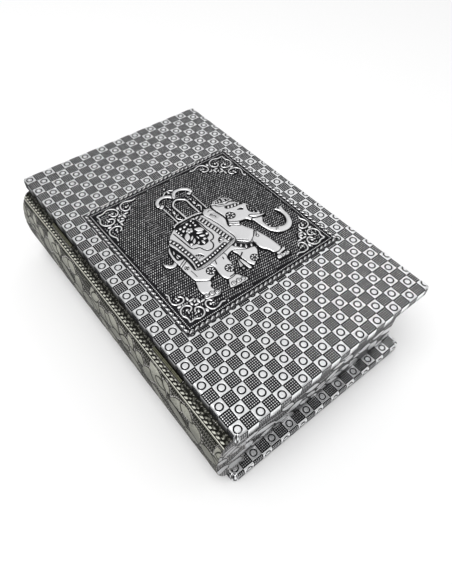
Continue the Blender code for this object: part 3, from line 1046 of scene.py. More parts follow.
def relief_mesh(name, relief, place, look, body, cut_out=None):
    """Make a piece of a relief; place turns sheet places and heights into world places."""
    rows, columns = relief.x.shape
    faces = grid_faces(rows, columns)
    drawn = (relief.depth > -SKIRT).ravel()
    faces = faces[drawn[faces].all(axis=1) & (relief.depth.ravel()[faces] > 0).any(axis=1)]
    if cut_out is not None:
        faces = faces[~cut_out.ravel()[faces].all(axis=1)]
    used, faces = np.unique(faces, return_inverse=True)
    faces = faces.reshape(-1, 4)
    flat = np.stack([relief.x.ravel(), relief.y.ravel()], 1)[used]
    points = place(flat[:, 0], flat[:, 1], relief.height.ravel()[used])
    return add_mesh(
        name, points, faces, look, body, tone=relief.tone.ravel()[used], flat=flat
    )


def even_grid(low, high, step):
    """Places of an even grid over a rectangle."""
    sides = [
        np.linspace(a, b, int(round((b - a) / step)) + 1) for a, b in zip(low, high)
    ]
    return np.meshgrid(*sides, indexing="ij")


# The plaque, in millimetres from its near corner on the spine side.

PLAQUE_SIZE = ((PLAQUE_HIGH.x - PLAQUE_LOW.x) / MM, (PLAQUE_HIGH.y - PLAQUE_LOW.y) / MM)
GROUND_Z = PLAQUE_LOW.z + 0.12 * MM
# The border's places from the plaque's edge inwards, each with its height and tone.
BORDER_PROFILE = (
    (0.0, -0.5, 0.3), (0.12, -0.1, 0.4), (0.35, 0.04, 0.45), (0.6, 0.0, 0.28),
    (2.45, 0.0, 0.28), (2.6, -0.12, 0.04), (2.85, -0.12, 0.03), (3.0, 0.0, 0.14),
    (3.9, 0.0, 0.14), (4.05, -0.12, 0.03), (4.45, -0.12, 0.03), (4.6, 0.0, 0.2),
)
BORDER = BORDER_PROFILE[-1][0]
ROPE_MIDDLE = 1.48
ROPE_PITCH = 3.07
# Strokes of one turn of the rope: place, angle, length, half width, rise, tone and halo.
ROPE_STROKES = (
    (-0.1, -0.72, 26, 3.3, 0.55, 0.34, 1.0, 0.2), (1.55, 0.9, -30, 1.9, 0.34, 0.26, 0.85, 0.16),
    (1.3, -0.85, 24, 1.8, 0.26, 0.24, 0.75, 0.16),
)
BEAD_MIDDLE = 3.43
BEAD_PITCH = 1.04
BEAD_RADIUS = 0.36
# Grid steps of the ground, the border and the figures.
GROUND_STEP = 3.0
ROPE_STEP = 0.16
FIGURE_STEP = 0.2
# The ground's dots: two steps between their rows, half their length and width, their lean,
# and the place along both sides that one of them has.
DOT_ROWS = ((1.18, -0.12), (0.93, 1.48))
DOT_HALF = (0.68, 0.34)
DOT_LEAN = 58.0
DOT_START = 50.0


def plaque_place(x, y, height):
    """World places of places on the plaque, from their heights over its ground."""
    return np.stack([
        PLAQUE_LOW.x + x * MM, PLAQUE_LOW.y + y * MM, GROUND_Z + height * MM
    ], 1)


def plaque_piece(name, relief, place=plaque_place):
    """A piece of the plaque from its relief."""
    return relief_mesh(name, relief, place, "plaque_foil", "lid")


def border_stops(size):
    """Grid lines across the plaque: close ones in the border, even ones in the ground."""
    rim = np.array([inset for inset, height, tone in BORDER_PROFILE[:-1]])
    count = 2 * int(round((size - 2 * BORDER) / GROUND_STEP / 2))
    return np.concatenate([rim, np.linspace(BORDER, size - BORDER, count + 1), size - rim[::-1]])


def inset_of(x, y):
    """How far places are from the plaque's edge."""
    return np.minimum(np.minimum(x, PLAQUE_SIZE[0] - x), np.minimum(y, PLAQUE_SIZE[1] - y))


def nearest(relief, x, y):
    """The depth of a relief's forms at other places, or -FAR beyond its grid."""
    low = (relief.x[0, 0], relief.y[0, 0])
    step = relief.x[1, 0] - relief.x[0, 0]
    column = np.round((x - low[0]) / step).astype(int)
    row = np.round((y - low[1]) / step).astype(int)
    known = (column >= 0) & (row >= 0) & (column < relief.x.shape[0]) & (row < relief.x.shape[1])
    found = relief.depth[np.where(known, column, 0), np.where(known, row, 0)]
    return np.where(known, found, -FAR)


def make_plaque_ground():
    """The sheet behind the elephant: edge, rope bed, two grooves and dark ground."""
    x, y = np.meshgrid(border_stops(PLAQUE_SIZE[0]), border_stops(PLAQUE_SIZE[1]), indexing="ij")
    relief = Relief(x, y)
    inset = inset_of(x, y)
    stops, heights, tones = zip(*BORDER_PROFILE)
    relief.height[:] = np.interp(inset, stops, heights)
    relief.tone[:] = np.interp(inset, stops, tones)
    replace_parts(plaque_piece("plaque_ground", relief), "elephant_plaque")


def make_dots(figures):
    """The oval dots of the plaque's ground, in slanting rows, clear of the figures."""
    random = np.random.default_rng(5)
    first, second = np.array(DOT_ROWS)
    count = np.arange(-120, 120)
    a, b = (part.ravel() for part in np.meshgrid(count, count, indexing="ij"))
    x = a * first[0] + b * second[0] + DOT_START
    y = a * first[1] + b * second[1] + DOT_START
    keep = inset_of(x, y) > BORDER + 0.35
    for figure in figures:
        keep &= nearest(figure, x, y) < -SKIRT
    x, y = x[keep], y[keep]
    sides = 8
    turn = 2 * np.pi * np.arange(sides) / sides
    lean = math.radians(DOT_LEAN)
    points, tones = [], []
    size = random.uniform(0.85, 1.12, len(x))[:, None]
    bright = random.uniform(0.70, 1.0, len(x))[:, None]
    for share, height, tone in ((1.0, -0.03, 0.15), (0.72, 0.10, 0.85), (0.0, 0.16, 1.0)):
        number = sides if share else 1
        along = DOT_HALF[0] * share * np.cos(turn[:number]) * size
        across = DOT_HALF[1] * share * np.sin(turn[:number]) * size
        px = x[:, None] + along * math.cos(lean) - across * math.sin(lean)
        py = y[:, None] + along * math.sin(lean) + across * math.cos(lean)
        points.append(np.stack([px, py, np.full(px.shape, height)], -1))
        tones.append(np.broadcast_to(tone * bright, px.shape))
    points = np.concatenate(points, 1)
    tones = np.concatenate(tones, 1)
    each = points.shape[1]
    shape = np.concatenate([
        band_faces(0, sides, sides), tip_faces(sides, 2 * sides, sides),
    ])
    faces = (shape[None] + each * np.arange(len(x))[:, None, None]).reshape(-1, 4)
    flat = points.reshape(-1, 3)
    add_mesh(
        "plaque_dots", plaque_place(flat[:, 0], flat[:, 1], flat[:, 2]), faces, "plaque_foil",
        "lid", tone=tones.ravel(), flat=flat[:, :2],
    )


def make_plaque_rope():
    """A rope of slanted strokes and a line of beads round the plaque."""
    width, height = PLAQUE_SIZE
    turns = {
        "near": lambda a, b: (a, b),
        "fore": lambda a, b: (width - b, a),
        "far": lambda a, b: (width - a, height - b),
        "spine": lambda a, b: (b, height - a),
    }
    for number, (side, turned) in enumerate(turns.items()):
        length = PLAQUE_SIZE[number % 2]
        x, y = even_grid((0.4, 0.3), (length - 0.4, BEAD_MIDDLE + 0.75), ROPE_STEP)
        relief = Relief(x, y, drawn=False)
        count = int((length - 2.0) / ROPE_PITCH)
        start = (length - count * ROPE_PITCH) / 2
        for step in range(count):
            at = start + step * ROPE_PITCH
            for along, aside, angle, long, half_width, *rest in ROPE_STROKES:
                relief.leaf(at + along, ROPE_MIDDLE + aside, angle, long, half_width, 0.0, *rest)
        count = int((length - 2 * BEAD_MIDDLE) / BEAD_PITCH)
        start = (length - count * BEAD_PITCH) / 2
        for step in range(count + 1):
            relief.bead(start + step * BEAD_PITCH, BEAD_MIDDLE, BEAD_RADIUS, 0.0, 0.2, halo=0.12)
        relief.under_edges()
        plaque_piece(
            "plaque_rope_" + side, relief, lambda a, b, h: plaque_place(*turned(a, b), h)
        )


# The scrollwork's corner, from the plaque's, and how far inside it the meshes start.
SCROLL_FROM = 3.8
SCROLL_GAP = 0.9
# How much wider and higher than drawn the near and the far corners are, and their meshes' size.
NEAR_SCROLLS = (1.0, 1.0, 26.0)
FAR_SCROLLS = (1.2, 1.12, 32.0)
# One half of a corner's scrollwork, from the scrollwork's corner; the other half mirrors it.
SCROLLS = (
    ((2.2, 1.95), (4.7, 2.15), (7.65, 1.05), (10.15, 1.95), (11.2, 3.55), (11.4, 5.05),
     (10.8, 6.5), (9.3, 7.35), (8.1, 6.95), (7.4, 5.65)),
    ((22.65, 1.95), (21.0, 2.35), (18.9, 1.5), (16.8, 1.05), (14.7, 1.95), (13.9, 3.55),
     (13.7, 5.25), (14.3, 6.7), (15.6, 7.35), (17.0, 6.95), (17.65, 6.05)),
)
SCROLL_BEADS = ((8.6, 4.8, 0.9), (16.2, 4.8, 0.9))
# Sprigs of a corner: place, angle, length and half width.
SPRIGS = (
    (8.2, 5.0, 200, 2.4, 0.5), (16.6, 5.0, -30, 2.2, 0.5), (12.5, 4.2, -90, 2.7, 0.95),
    (12.35, 8.0, 90, 4.2, 0.85), (11.9, 8.6, 176, 3.0, 0.75), (12.8, 8.6, 4, 3.2, 0.75),
    (10.1, 10.1, 45, 2.4, 0.7),
)


def draw_scrolls(relief, corner):
    """A corner's scrollwork; corner turns its places into the plaque's."""
    for spot in (corner, lambda a, b: corner(b, a)):
        for points in SCROLLS:
            relief.rib([spot(*point) for point in points], 0.5, 0.05, 0.42)
        for x, y, radius in SCROLL_BEADS:
            relief.bead(*spot(x, y), radius, 0.05, 0.5)
        for x, y, angle, length, half_width in SPRIGS:
            start = spot(x, y)
            end = spot(*at_angle(x, y, length, math.radians(angle)))
            direction = math.degrees(math.atan2(end[1] - start[1], end[0] - start[0]))
            relief.leaf(*start, direction, length, half_width, 0.05, 0.4, halo=0.4)


def make_scrolls():
    """The four corners' scrollwork, each in its own mesh; the far ones are larger."""
    drawn = []
    width, height = PLAQUE_SIZE
    for name, right, top in (
        ("near_spine", False, False), ("near_fore", True, False),
        ("far_spine", False, True), ("far_fore", True, True),
    ):
        wider, higher, reach = FAR_SCROLLS if top else NEAR_SCROLLS
        start = SCROLL_FROM + SCROLL_GAP
        low = (width - start - reach if right else start, height - start - reach if top else start)
        x, y = even_grid(low, (low[0] + reach, low[1] + reach), FIGURE_STEP)
        relief = Relief(x, y, drawn=False)

        def corner(a, b):
            x, y = SCROLL_FROM + wider * a, SCROLL_FROM + higher * b
            return width - x if right else x, height - y if top else y

        draw_scrolls(relief, corner)
        relief.under_edges()
        plaque_piece("scrolls_" + name, relief)
        drawn.append(relief)
    return drawn


# The elephant. Its places are those seen in the photograph in the plane of the plaque, so
# each layer is drawn with a shift, the larger the higher the layer stands.

LOW_SHIFT = (-0.70, -0.65)
SADDLE_SHIFT = (-0.82, -0.85)
HEAD_SHIFT = (-0.95, -1.05)
HOWDAH_SHIFT = (-0.75, -0.72)

BODY = (
    (25.6, 52.2), (23.2, 49.2), (22.5, 46.4), (22.0, 43.4), (22.2, 38.0), (22.1, 34.0),
    (22.4, 29.0), (22.6, 26.4), (23.3, 24.4), (26.2, 22.3), (28.9, 20.7), (30.6, 21.6),
    (32.6, 21.9), (34.8, 23.0), (38.0, 26.4), (44.9, 26.8), (46.6, 28.4), (50.6, 29.6),
    (58.0, 25.6), (63.0, 27.0), (69.9, 31.0), (69.0, 35.4), (67.0, 39.8), (65.4, 43.4),
    (60.0, 48.0), (55.4, 56.0), (50.0, 59.0), (37.0, 59.0),
)
FAR_FORELEG = (
    (50.4, 29.8), (50.6, 28.4), (51.3, 26.0), (51.2, 23.0), (51.5, 20.5), (51.7, 18.2),
    (52.5, 16.0), (53.6, 14.8), (54.7, 15.6), (55.6, 16.0), (57.6, 15.9), (59.2, 18.4),
    (60.4, 20.4), (61.6, 22.0), (62.1, 24.2), (62.9, 27.6), (59.0, 31.0),
)
FAR_HOOF = ((46.8, 18.2), (47.6, 20.8), (49.2, 23.4), (49.0, 20.0), (48.6, 18.2))
HIND_SHANK = (
    (22.8, 24.4), (21.6, 21.6), (20.9, 20.0), (20.6, 17.2), (21.2, 15.4), (24.0, 14.4),
    (27.2, 14.6), (27.1, 16.2), (27.1, 17.6), (28.5, 18.8), (28.9, 20.6), (26.4, 22.6),
)
HIND_FOOT = (
    (21.0, 15.4), (20.2, 13.6), (20.6, 12.4), (24.4, 11.3), (27.8, 10.8), (29.6, 12.6),
    (28.2, 14.0), (27.2, 15.0), (24.0, 15.4),
)
NEAR_HINDLEG = (
    (34.6, 32.0), (36.0, 26.0), (35.3, 22.0), (35.2, 19.2), (35.7, 17.4), (36.6, 15.8),
    (38.8, 15.4), (41.6, 16.2), (41.9, 17.2), (43.2, 19.2), (44.5, 21.8), (44.9, 24.4),
    (45.2, 27.0), (46.0, 29.0), (45.0, 32.0),
)
NEAR_HINDFOOT = (
    (37.0, 15.6), (35.4, 13.4), (34.4, 10.9), (37.2, 9.9), (41.0, 9.6), (45.0, 9.8),
    (44.8, 11.6), (43.6, 13.2), (42.2, 15.6), (39.6, 16.0),
)
NEAR_FORELEG = (
    (64.2, 29.6), (63.6, 27.4), (63.4, 25.2), (63.5, 22.6), (64.2, 20.6), (65.5, 19.0),
    (66.4, 17.2), (66.8, 15.3), (69.6, 14.2), (72.4, 15.4), (72.6, 19.0), (72.3, 23.5),
    (71.7, 26.8), (71.0, 29.8), (69.8, 33.2), (66.0, 32.0),
)
FORE_ANKLE = (
    (67.9, 13.8), (68.7, 12.3), (71.0, 12.7), (73.5, 13.0), (73.9, 14.7), (71.5, 14.4),
    (69.4, 13.9),
)
FORE_FOOT = (
    (65.9, 11.0), (66.6, 9.6), (69.6, 9.7), (73.4, 9.4), (74.2, 10.6), (73.2, 11.8),
    (70.4, 12.0), (68.0, 12.7),
)
NECK = (
    (54.4, 60.6), (55.9, 62.6), (57.9, 63.4), (59.9, 63.0), (61.5, 61.6), (62.2, 56.0),
    (62.8, 51.0), (61.4, 47.0), (64.6, 45.6), (66.6, 42.2), (66.9, 40.4), (67.7, 38.2),
    (68.8, 36.0), (69.5, 34.4), (67.8, 32.0), (64.4, 29.6), (61.9, 28.6), (59.4, 30.6),
    (56.8, 33.8), (57.9, 37.0), (57.4, 42.0), (57.0, 48.0), (55.6, 55.6),
)
TRUNK = (
    (73.9, 42.0), (74.2, 39.4), (74.4, 37.0), (74.7, 34.2), (75.3, 31.2), (76.0, 28.7),
    (77.2, 26.5), (78.6, 25.0), (80.4, 23.7), (83.0, 22.9), (85.9, 22.9), (88.4, 23.9),
    (90.6, 25.8), (91.9, 28.3), (92.9, 31.1), (93.3, 34.2), (93.6, 36.8), (94.2, 39.6),
    (92.8, 39.4), (91.5, 38.3), (90.6, 39.6), (89.2, 39.4), (90.0, 37.9), (90.6, 36.1),
    (90.6, 33.6), (90.1, 31.2), (89.2, 29.3), (87.8, 27.8), (85.9, 26.9), (83.7, 27.1),
    (82.2, 27.8), (80.0, 28.8), (78.4, 30.2), (77.7, 32.0), (77.6, 33.6), (77.9, 36.1),
    (79.2, 37.8), (80.2, 39.4), (80.0, 41.4), (77.0, 43.0),
)
HEAD = (
    (62.3, 63.4), (62.0, 60.2), (62.6, 55.9), (63.2, 52.4), (63.2, 49.6), (62.2, 47.6),
    (61.2, 45.6), (63.6, 43.8), (65.9, 41.6), (66.8, 43.4), (68.0, 44.3), (69.6, 44.0),
    (71.3, 43.7), (72.5, 42.6), (73.4, 41.0), (74.3, 41.8), (77.2, 41.6), (81.0, 42.3),
    (81.5, 44.4), (80.9, 48.2), (80.3, 51.3), (79.7, 53.3), (78.5, 55.2), (76.9, 56.8),
    (75.5, 58.4), (73.6, 60.2), (69.0, 61.0), (65.0, 63.4),
)
CROWN = (
    (62.7, 63.9), (63.8, 64.7), (65.4, 65.8), (67.1, 65.9), (69.3, 65.9), (70.6, 67.1),
    (71.2, 65.8), (72.5, 64.5), (73.9, 63.4), (74.7, 61.4), (75.3, 59.9), (73.8, 60.2),
    (72.4, 60.5), (70.4, 60.1), (69.0, 60.9), (67.1, 61.5), (65.3, 62.3), (64.0, 63.1),
)
TUSK = (
    (74.4, 44.2), (75.6, 44.3), (77.5, 43.1), (79.4, 42.0), (81.4, 40.9), (83.2, 40.4),
    (81.1, 40.0), (78.9, 40.3), (77.2, 40.8), (75.8, 41.9), (74.8, 43.1),
)
BROW_PATCH = (
    (79.0, 52.2), (77.5, 50.0), (76.8, 47.6), (77.4, 45.6), (79.8, 43.6), (80.9, 44.6),
    (80.6, 48.2), (80.0, 51.2),
)
EYE = ((72.2, 52.2), (74.3, 52.3), (75.7, 51.5), (75.0, 50.2), (73.6, 51.0))
EAR_SHADE = (
    (56.8, 57.6), (58.2, 58.6), (60.8, 58.2), (61.4, 55.6), (60.9, 53.4), (58.0, 53.2),
    (56.8, 55.4),
)
RUMP = (
    (23.6, 41.0), (23.3, 44.0), (23.8, 47.4), (25.0, 50.6), (27.6, 53.6), (29.0, 48.0),
    (29.0, 41.2),
)
# Leaves, here and on the saddle: place, angle, length and half width.
RUMP_LEAVES = (
    (24.4, 41.6, 84, 3.0, 0.42), (26.1, 42.0, 104, 3.4, 0.46), (24.4, 45.6, 66, 3.0, 0.42),
    (26.6, 46.4, 84, 3.2, 0.42), (25.9, 49.6, 60, 2.2, 0.36),
)
SADDLE = (
    (36.4, 62.0), (31.9, 59.2), (29.2, 57.0), (26.5, 53.6), (27.2, 49.4), (27.9, 45.0),
    (28.4, 40.4), (28.5, 36.0), (28.1, 33.0), (27.6, 30.5), (31.6, 29.3), (38.0, 29.9),
    (44.0, 31.0), (50.0, 32.4), (56.9, 34.6), (57.5, 38.0), (57.0, 44.0), (56.6, 49.6),
    (55.3, 55.6), (54.0, 60.8), (52.8, 62.4), (49.0, 62.8), (42.0, 62.8),
)
SADDLE_FIELD = (
    (35.2, 60.6), (35.1, 54.0), (35.2, 49.0), (35.4, 46.6), (36.6, 45.2), (38.6, 44.8),
    (39.6, 42.8), (42.2, 41.9), (45.0, 42.9), (45.6, 45.0), (47.6, 46.0), (48.4, 48.4),
    (48.4, 54.0), (47.8, 61.4), (42.0, 61.8),
)
SADDLE_PANEL = (
    (32.9, 58.4), (33.4, 52.4), (33.9, 46.8), (34.4, 44.0), (35.7, 42.7), (38.2, 41.8),
    (39.0, 39.5), (40.2, 37.7), (41.7, 37.1), (43.2, 37.2), (44.7, 38.3), (45.7, 40.2),
    (45.8, 42.3), (47.6, 42.6), (49.2, 44.4), (49.6, 47.3), (49.2, 50.4), (49.1, 55.9),
    (48.5, 60.2),
)
SADDLE_LEAVES = (
    (35.8, 49.6, 56, 6.2, 1.6), (48.0, 51.0, 138, 5.8, 1.7), (37.5, 48.7, 40, 4.1, 0.8),
    (37.3, 45.8, 48, 4.4, 0.9), (46.6, 49.9, 157, 4.4, 0.85), (41.8, 47.1, 90, 2.8, 0.5),
    (46.2, 47.1, 150, 3.9, 0.85), (39.2, 44.2, 50, 2.2, 0.75), (42.2, 45.6, 270, 3.6, 0.9),
    (43.4, 46.2, 320, 2.4, 0.9),
)
SADDLE_BLOBS = (
    (36.1, 46.3, 1.0), (47.5, 47.8, 0.9), (35.5, 59.5, 0.75), (35.6, 57.4, 0.65),
    (35.8, 55.3, 0.7), (38.0, 59.4, 0.95), (38.4, 57.0, 0.95), (40.7, 59.2, 0.95),
    (43.0, 60.3, 0.95), (46.2, 60.9, 0.75), (46.4, 59.0, 0.7), (46.2, 56.8, 0.8),
    (43.9, 58.2, 0.7),
)
LEFT_BEADS = (
    (28.4, 55.0), (29.2, 52.8), (30.0, 49.8), (30.2, 46.2), (30.6, 42.6), (30.95, 39.0),
    (30.95, 35.6), (30.4, 32.4),
)
BOTTOM_BEADS = (
    (30.4, 32.4), (34.6, 32.6), (38.5, 33.1), (42.6, 34.0), (46.5, 34.9), (50.3, 35.8),
)
RIGHT_BEADS = (
    (50.6, 61.2), (51.8, 57.1), (52.4, 52.6), (53.4, 48.3), (53.8, 43.9), (54.7, 37.4),
)
HOWDAH_ARCH = (
    (45.7, 64.6), (45.5, 71.0), (45.4, 76.8), (46.5, 78.5), (48.1, 79.8), (49.8, 80.2),
    (51.4, 79.6), (52.9, 78.4), (54.1, 77.0), (54.2, 71.0), (54.3, 64.4),
)
CANOPY_LEFT = (
    (38.5, 81.9), (39.2, 84.2), (41.0, 85.9), (43.5, 86.6), (46.0, 86.3), (48.0, 85.0),
    (49.6, 82.6),
)
CANOPY_RIGHT = (
    (49.8, 82.6), (51.4, 85.2), (53.3, 86.5), (55.4, 86.6), (57.8, 85.9), (59.8, 84.5),
    (60.8, 82.8), (60.9, 81.2),
)
HOOK_LEFT = (
    (38.2, 81.4), (39.4, 81.9), (41.4, 81.1), (41.2, 79.9), (40.0, 79.0), (39.2, 78.5),
    (38.3, 79.6),
)
HOOK_RIGHT = (
    (57.7, 81.0), (59.9, 81.5), (61.5, 81.0), (60.9, 79.8), (59.5, 79.3), (58.4, 78.8),
    (58.1, 80.0),
)


def spaced(points, count):
    """Places at even spaces along a smooth line."""
    line = smooth_line(points, steps=8)
    run = np.concatenate([[0], np.cumsum(np.hypot(*np.diff(line, axis=0).T))])
    at = np.linspace(0, run[-1], count)
    return zip(*(np.interp(at, run, line[:, axis]) for axis in (0, 1)))


def draw_saddle(relief):
    """The saddle cloth, with its beaded borders, its panel of leaves and its fringe."""
    top = 0.95
    relief.form(SADDLE, 0.80, 0.15, 0.4, steps=3, halo=0.6)
    fringe = ((28.4, 31.2), (33.0, 31.3), (38.0, 31.9), (44.0, 33.0), (50.0, 34.5), (56.6, 36.1))
    relief.engrave(fringe, 0.42, 0.14)
    for x, y in spaced(fringe, 44):
        relief.engrave([(x, y - 0.5), (x + 0.1, y - 1.6)], 0.2, 0.06, 0.3, steps=0)
    for line, half_width in ((LEFT_BEADS, 2.0), (BOTTOM_BEADS, 1.85), (RIGHT_BEADS, 2.2)):
        relief.engrave(line, half_width, 0.24)
    for x, y in spaced(LEFT_BEADS, 11):
        relief.rib([(x - 0.15, y), (x + 0.15, y)], 0.78, top - 0.2, 0.32, steps=0)
    for x, y in spaced(BOTTOM_BEADS, 11):
        relief.bead(x, y, 0.76, top - 0.2, 0.32)
    for x, y in spaced(RIGHT_BEADS, 12):
        relief.rib([(x - 0.7, y - 0.3), (x + 0.7, y + 0.3)], 0.68, top - 0.2, 0.32, steps=0)
    relief.sink(SADDLE_FIELD, 0.24)
    relief.engrave(SADDLE_PANEL, 0.5, 0.2)
    for leaf in SADDLE_LEAVES:
        relief.leaf(*leaf, top - 0.22, 0.38, halo=0.25)
    for turn in np.linspace(0.3, 0.3 + 2 * math.pi, 5, endpoint=False):
        relief.bead(*at_angle(41.2, 55.3, 1.1, turn), 1.0, top - 0.22, 0.36, halo=0.1)
    for x, y, radius in SADDLE_BLOBS:
        relief.bead(x, y, radius, top - 0.22, 0.38)
    for x, y, turned in ((33.3, 35.6, 45), (51.9, 38.3, 135)):
        fan = [
            at_angle(x, y, 3.3, math.radians(angle)) for angle in range(turned - 50, turned + 51, 20)
        ]
        relief.sink([(x, y)] + fan, 0.28, tone=0.02, steps=0)
        for angle in (turned - 36, turned, turned + 36):
            relief.leaf(x, y, angle, 3.0, 0.42, top - 0.15, 0.3, halo=0.1)
    relief.engrave(
        ((35.6, 61.2), (39.5, 62.5), (44.0, 62.8), (49.0, 62.6), (52.0, 62.0), (54.4, 61.2)),
        0.9, 0.2,
    )


def draw_head(relief):
    """The head, with its crown, beads, eye, rosette, tusk and trunk."""
    relief.form(TRUNK, 0.45, 0.65, 1.6, halo=0.6)
    relief.leaf(77.6, 33.8, -35, 1.8, 0.6, 0.4, 0.35)
    relief.bead(78.7, 31.1, 0.65, 0.4, 0.35)
    for shift in (0.0, 1.3):
        relief.engrave(((79.0 + shift, 26.4), (80.6 + shift, 28.2)), 0.3, 0.1, 0.35, steps=0)
    relief.aim(HEAD_SHIFT)
    relief.form(HEAD, 0.75, 0.6, 2.6, halo=0.6)
    for line in (
        ((62.6, 47.5), (65.8, 45.1), (67.9, 44.4)), ((61.6, 46.4), (65.4, 43.5)),
        ((61.4, 45.0), (65.3, 42.2)),
        ((64.3, 62.4), (65.2, 60.5), (67.0, 59.7), (68.6, 58.9)),
    ):
        relief.engrave(line, 0.34, 0.15, 0.12)
    relief.engrave(((69.0, 57.3), (71.6, 56.5), (74.0, 56.0)), 1.9, 0.3)
    relief.engrave(((73.6, 56.2), (75.6, 55.5), (77.4, 54.9)), 1.3, 0.3)
    for x, y, half_width in (
        (69.7, 56.9, 0.62), (71.7, 56.3, 0.72), (73.9, 56.1, 0.72), (76.1, 55.9, 0.55),
    ):
        relief.rib([(x - 0.3, y - 0.4), (x + 0.3, y + 0.4)], half_width, 1.05, 0.3, steps=0)
    relief.sink(BROW_PATCH, 0.25, tone=0.2)
    relief.leaf(78.1, 44.5, 45, 1.9, 0.55, 1.0, 0.3, halo=0.2)
    for x, y, radius in (
        (79.2, 50.6, 0.4), (78.4, 49.3, 0.4), (79.6, 48.6, 0.4), (78.2, 47.4, 0.4),
        (79.7, 46.9, 0.4),
    ):
        relief.bead(x, y, radius, 1.0, 0.3, halo=0.1)
    relief.sink(EYE, 0.4)
    relief.rosette(66.4, 50.9, 2.9, 6, 1.15, 10)
    relief.engrave((
        (61.8, 63.2), (61.7, 60.1), (62.4, 55.9), (62.9, 52.3), (62.9, 49.8), (61.8, 47.6),
        (60.8, 45.8), (60.8, 44.6),
    ), 0.7, 0.4)
    relief.form(CROWN, 1.15, 0.35, 0.7)
    relief.sink(
        ((64.2, 63.8), (65.6, 64.9), (68.6, 65.2), (70.4, 65.4), (72.0, 63.8), (73.4, 62.0),
         (74.0, 61.0), (71.6, 61.3), (69.4, 61.6), (66.8, 62.4)), 0.2, tone=0.03,
    )
    for x, y, angle, length, half_width in (
        (64.5, 63.7, 30, 2.4, 0.6), (66.2, 62.9, 62, 2.4, 0.55), (68.0, 62.3, 72, 3.0, 0.65),
        (70.9, 61.5, 92, 4.6, 0.85), (69.6, 62.0, 62, 2.2, 0.4), (72.6, 61.6, 62, 2.4, 0.5),
        (73.8, 61.3, 60, 1.6, 0.45),
    ):
        relief.leaf(x, y, angle, length, half_width, 1.25, 0.3, halo=0.15)
    relief.form(TUSK, 1.15, 0.45, 0.9, halo=0.8)
    relief.aim(LOW_SHIFT)


def draw_far_legs(relief):
    """The tail and the far legs."""
    relief.rib(
        ((16.6, 43.4), (17.1, 41.9), (18.4, 40.4), (20.2, 39.8), (21.6, 40.7), (22.4, 42.0)),
        1.15, 0.25, 0.4, taper=True,
    )
    relief.form(FAR_HOOF, 0.2, 0.3, 0.8, tone=0.8)
    relief.bead(47.6, 16.6, 0.9, 0.2, 0.3, tone=0.7)
    relief.form(
        ((49.6, 22.8), (50.3, 22.6), (51.5, 15.2), (51.0, 14.0), (49.9, 14.6)), 0.25, 0.4, 0.7
    )
    relief.form(FAR_FORELEG, 0.35, 0.4, 2.0)
    relief.rosette(56.8, 18.5, 2.6, 7, 0.6)
    relief.engrave(((51.0, 23.8), (52.3, 24.3), (53.8, 25.3)), 0.5, 0.2)
    relief.form(HIND_FOOT, 0.3, 0.3, 0.7)
    relief.form(HIND_SHANK, 0.4, 0.45, 2.0)


def draw_hindquarters(relief):
    """The body, the near hind leg, and the patterns on both."""
    relief.form(BODY, 0.45, 0.5, 2.6)
    relief.engrave(((22.8, 24.8), (26.0, 22.3), (29.2, 20.4)), 0.36, 0.15)
    relief.form(NEAR_HINDFOOT, 0.4, 0.3, 0.7)
    relief.form(NEAR_HINDLEG, 0.55, 0.5, 2.4)
    relief.engrave(((38.4, 16.2), (40.0, 16.3), (41.6, 16.6)), 0.35, 0.15)
    for x, y, radius in (
        (21.9, 14.1, 0.95), (24.9, 13.6, 1.15), (27.5, 12.7, 1.1), (37.4, 11.9, 1.1),
        (40.5, 11.9, 1.1), (43.1, 11.5, 0.95),
    ):
        relief.bead(x, y, 1.15 * radius, 0.5, 0.35, halo=0.4)
        relief.bead(x, y, 0.4 * radius, 0.75, 0.2, halo=0.25)
    relief.rosette(33.0, 25.2, 2.7, 7, 0.8, 20)
    relief.rosette(41.7, 20.8, 2.7, 8, 0.9)
    for line in (((38.8, 29.2), (38.0, 27.0)), ((43.4, 28.8), (43.0, 27.4))):
        relief.engrave(line, 0.4, 0.12, 0.15)
    relief.sink(RUMP, 0.2, tone=0.03)
    for leaf in RUMP_LEAVES:
        relief.leaf(*leaf, 0.8, 0.3, halo=0.15)
    for shift in (-0.75, 0.75):
        relief.engrave(
            ((22.2, 36.9 + shift), (24.6, 37.8 + shift), (27.4, 39.2 + shift)), 0.34, 0.15
        )
    relief.rosette(24.3, 34.3, 1.3, 4, 0.8, 45)
    relief.engrave(((24.9, 31.4), (25.1, 29.0), (25.1, 26.4)), 0.35, 0.08, 0.45)
    relief.engrave((
        (25.7, 53.2), (26.3, 49.6), (27.0, 45.2), (27.5, 40.4), (27.6, 36.0), (27.2, 31.0),
    ), 1.1, 0.2)


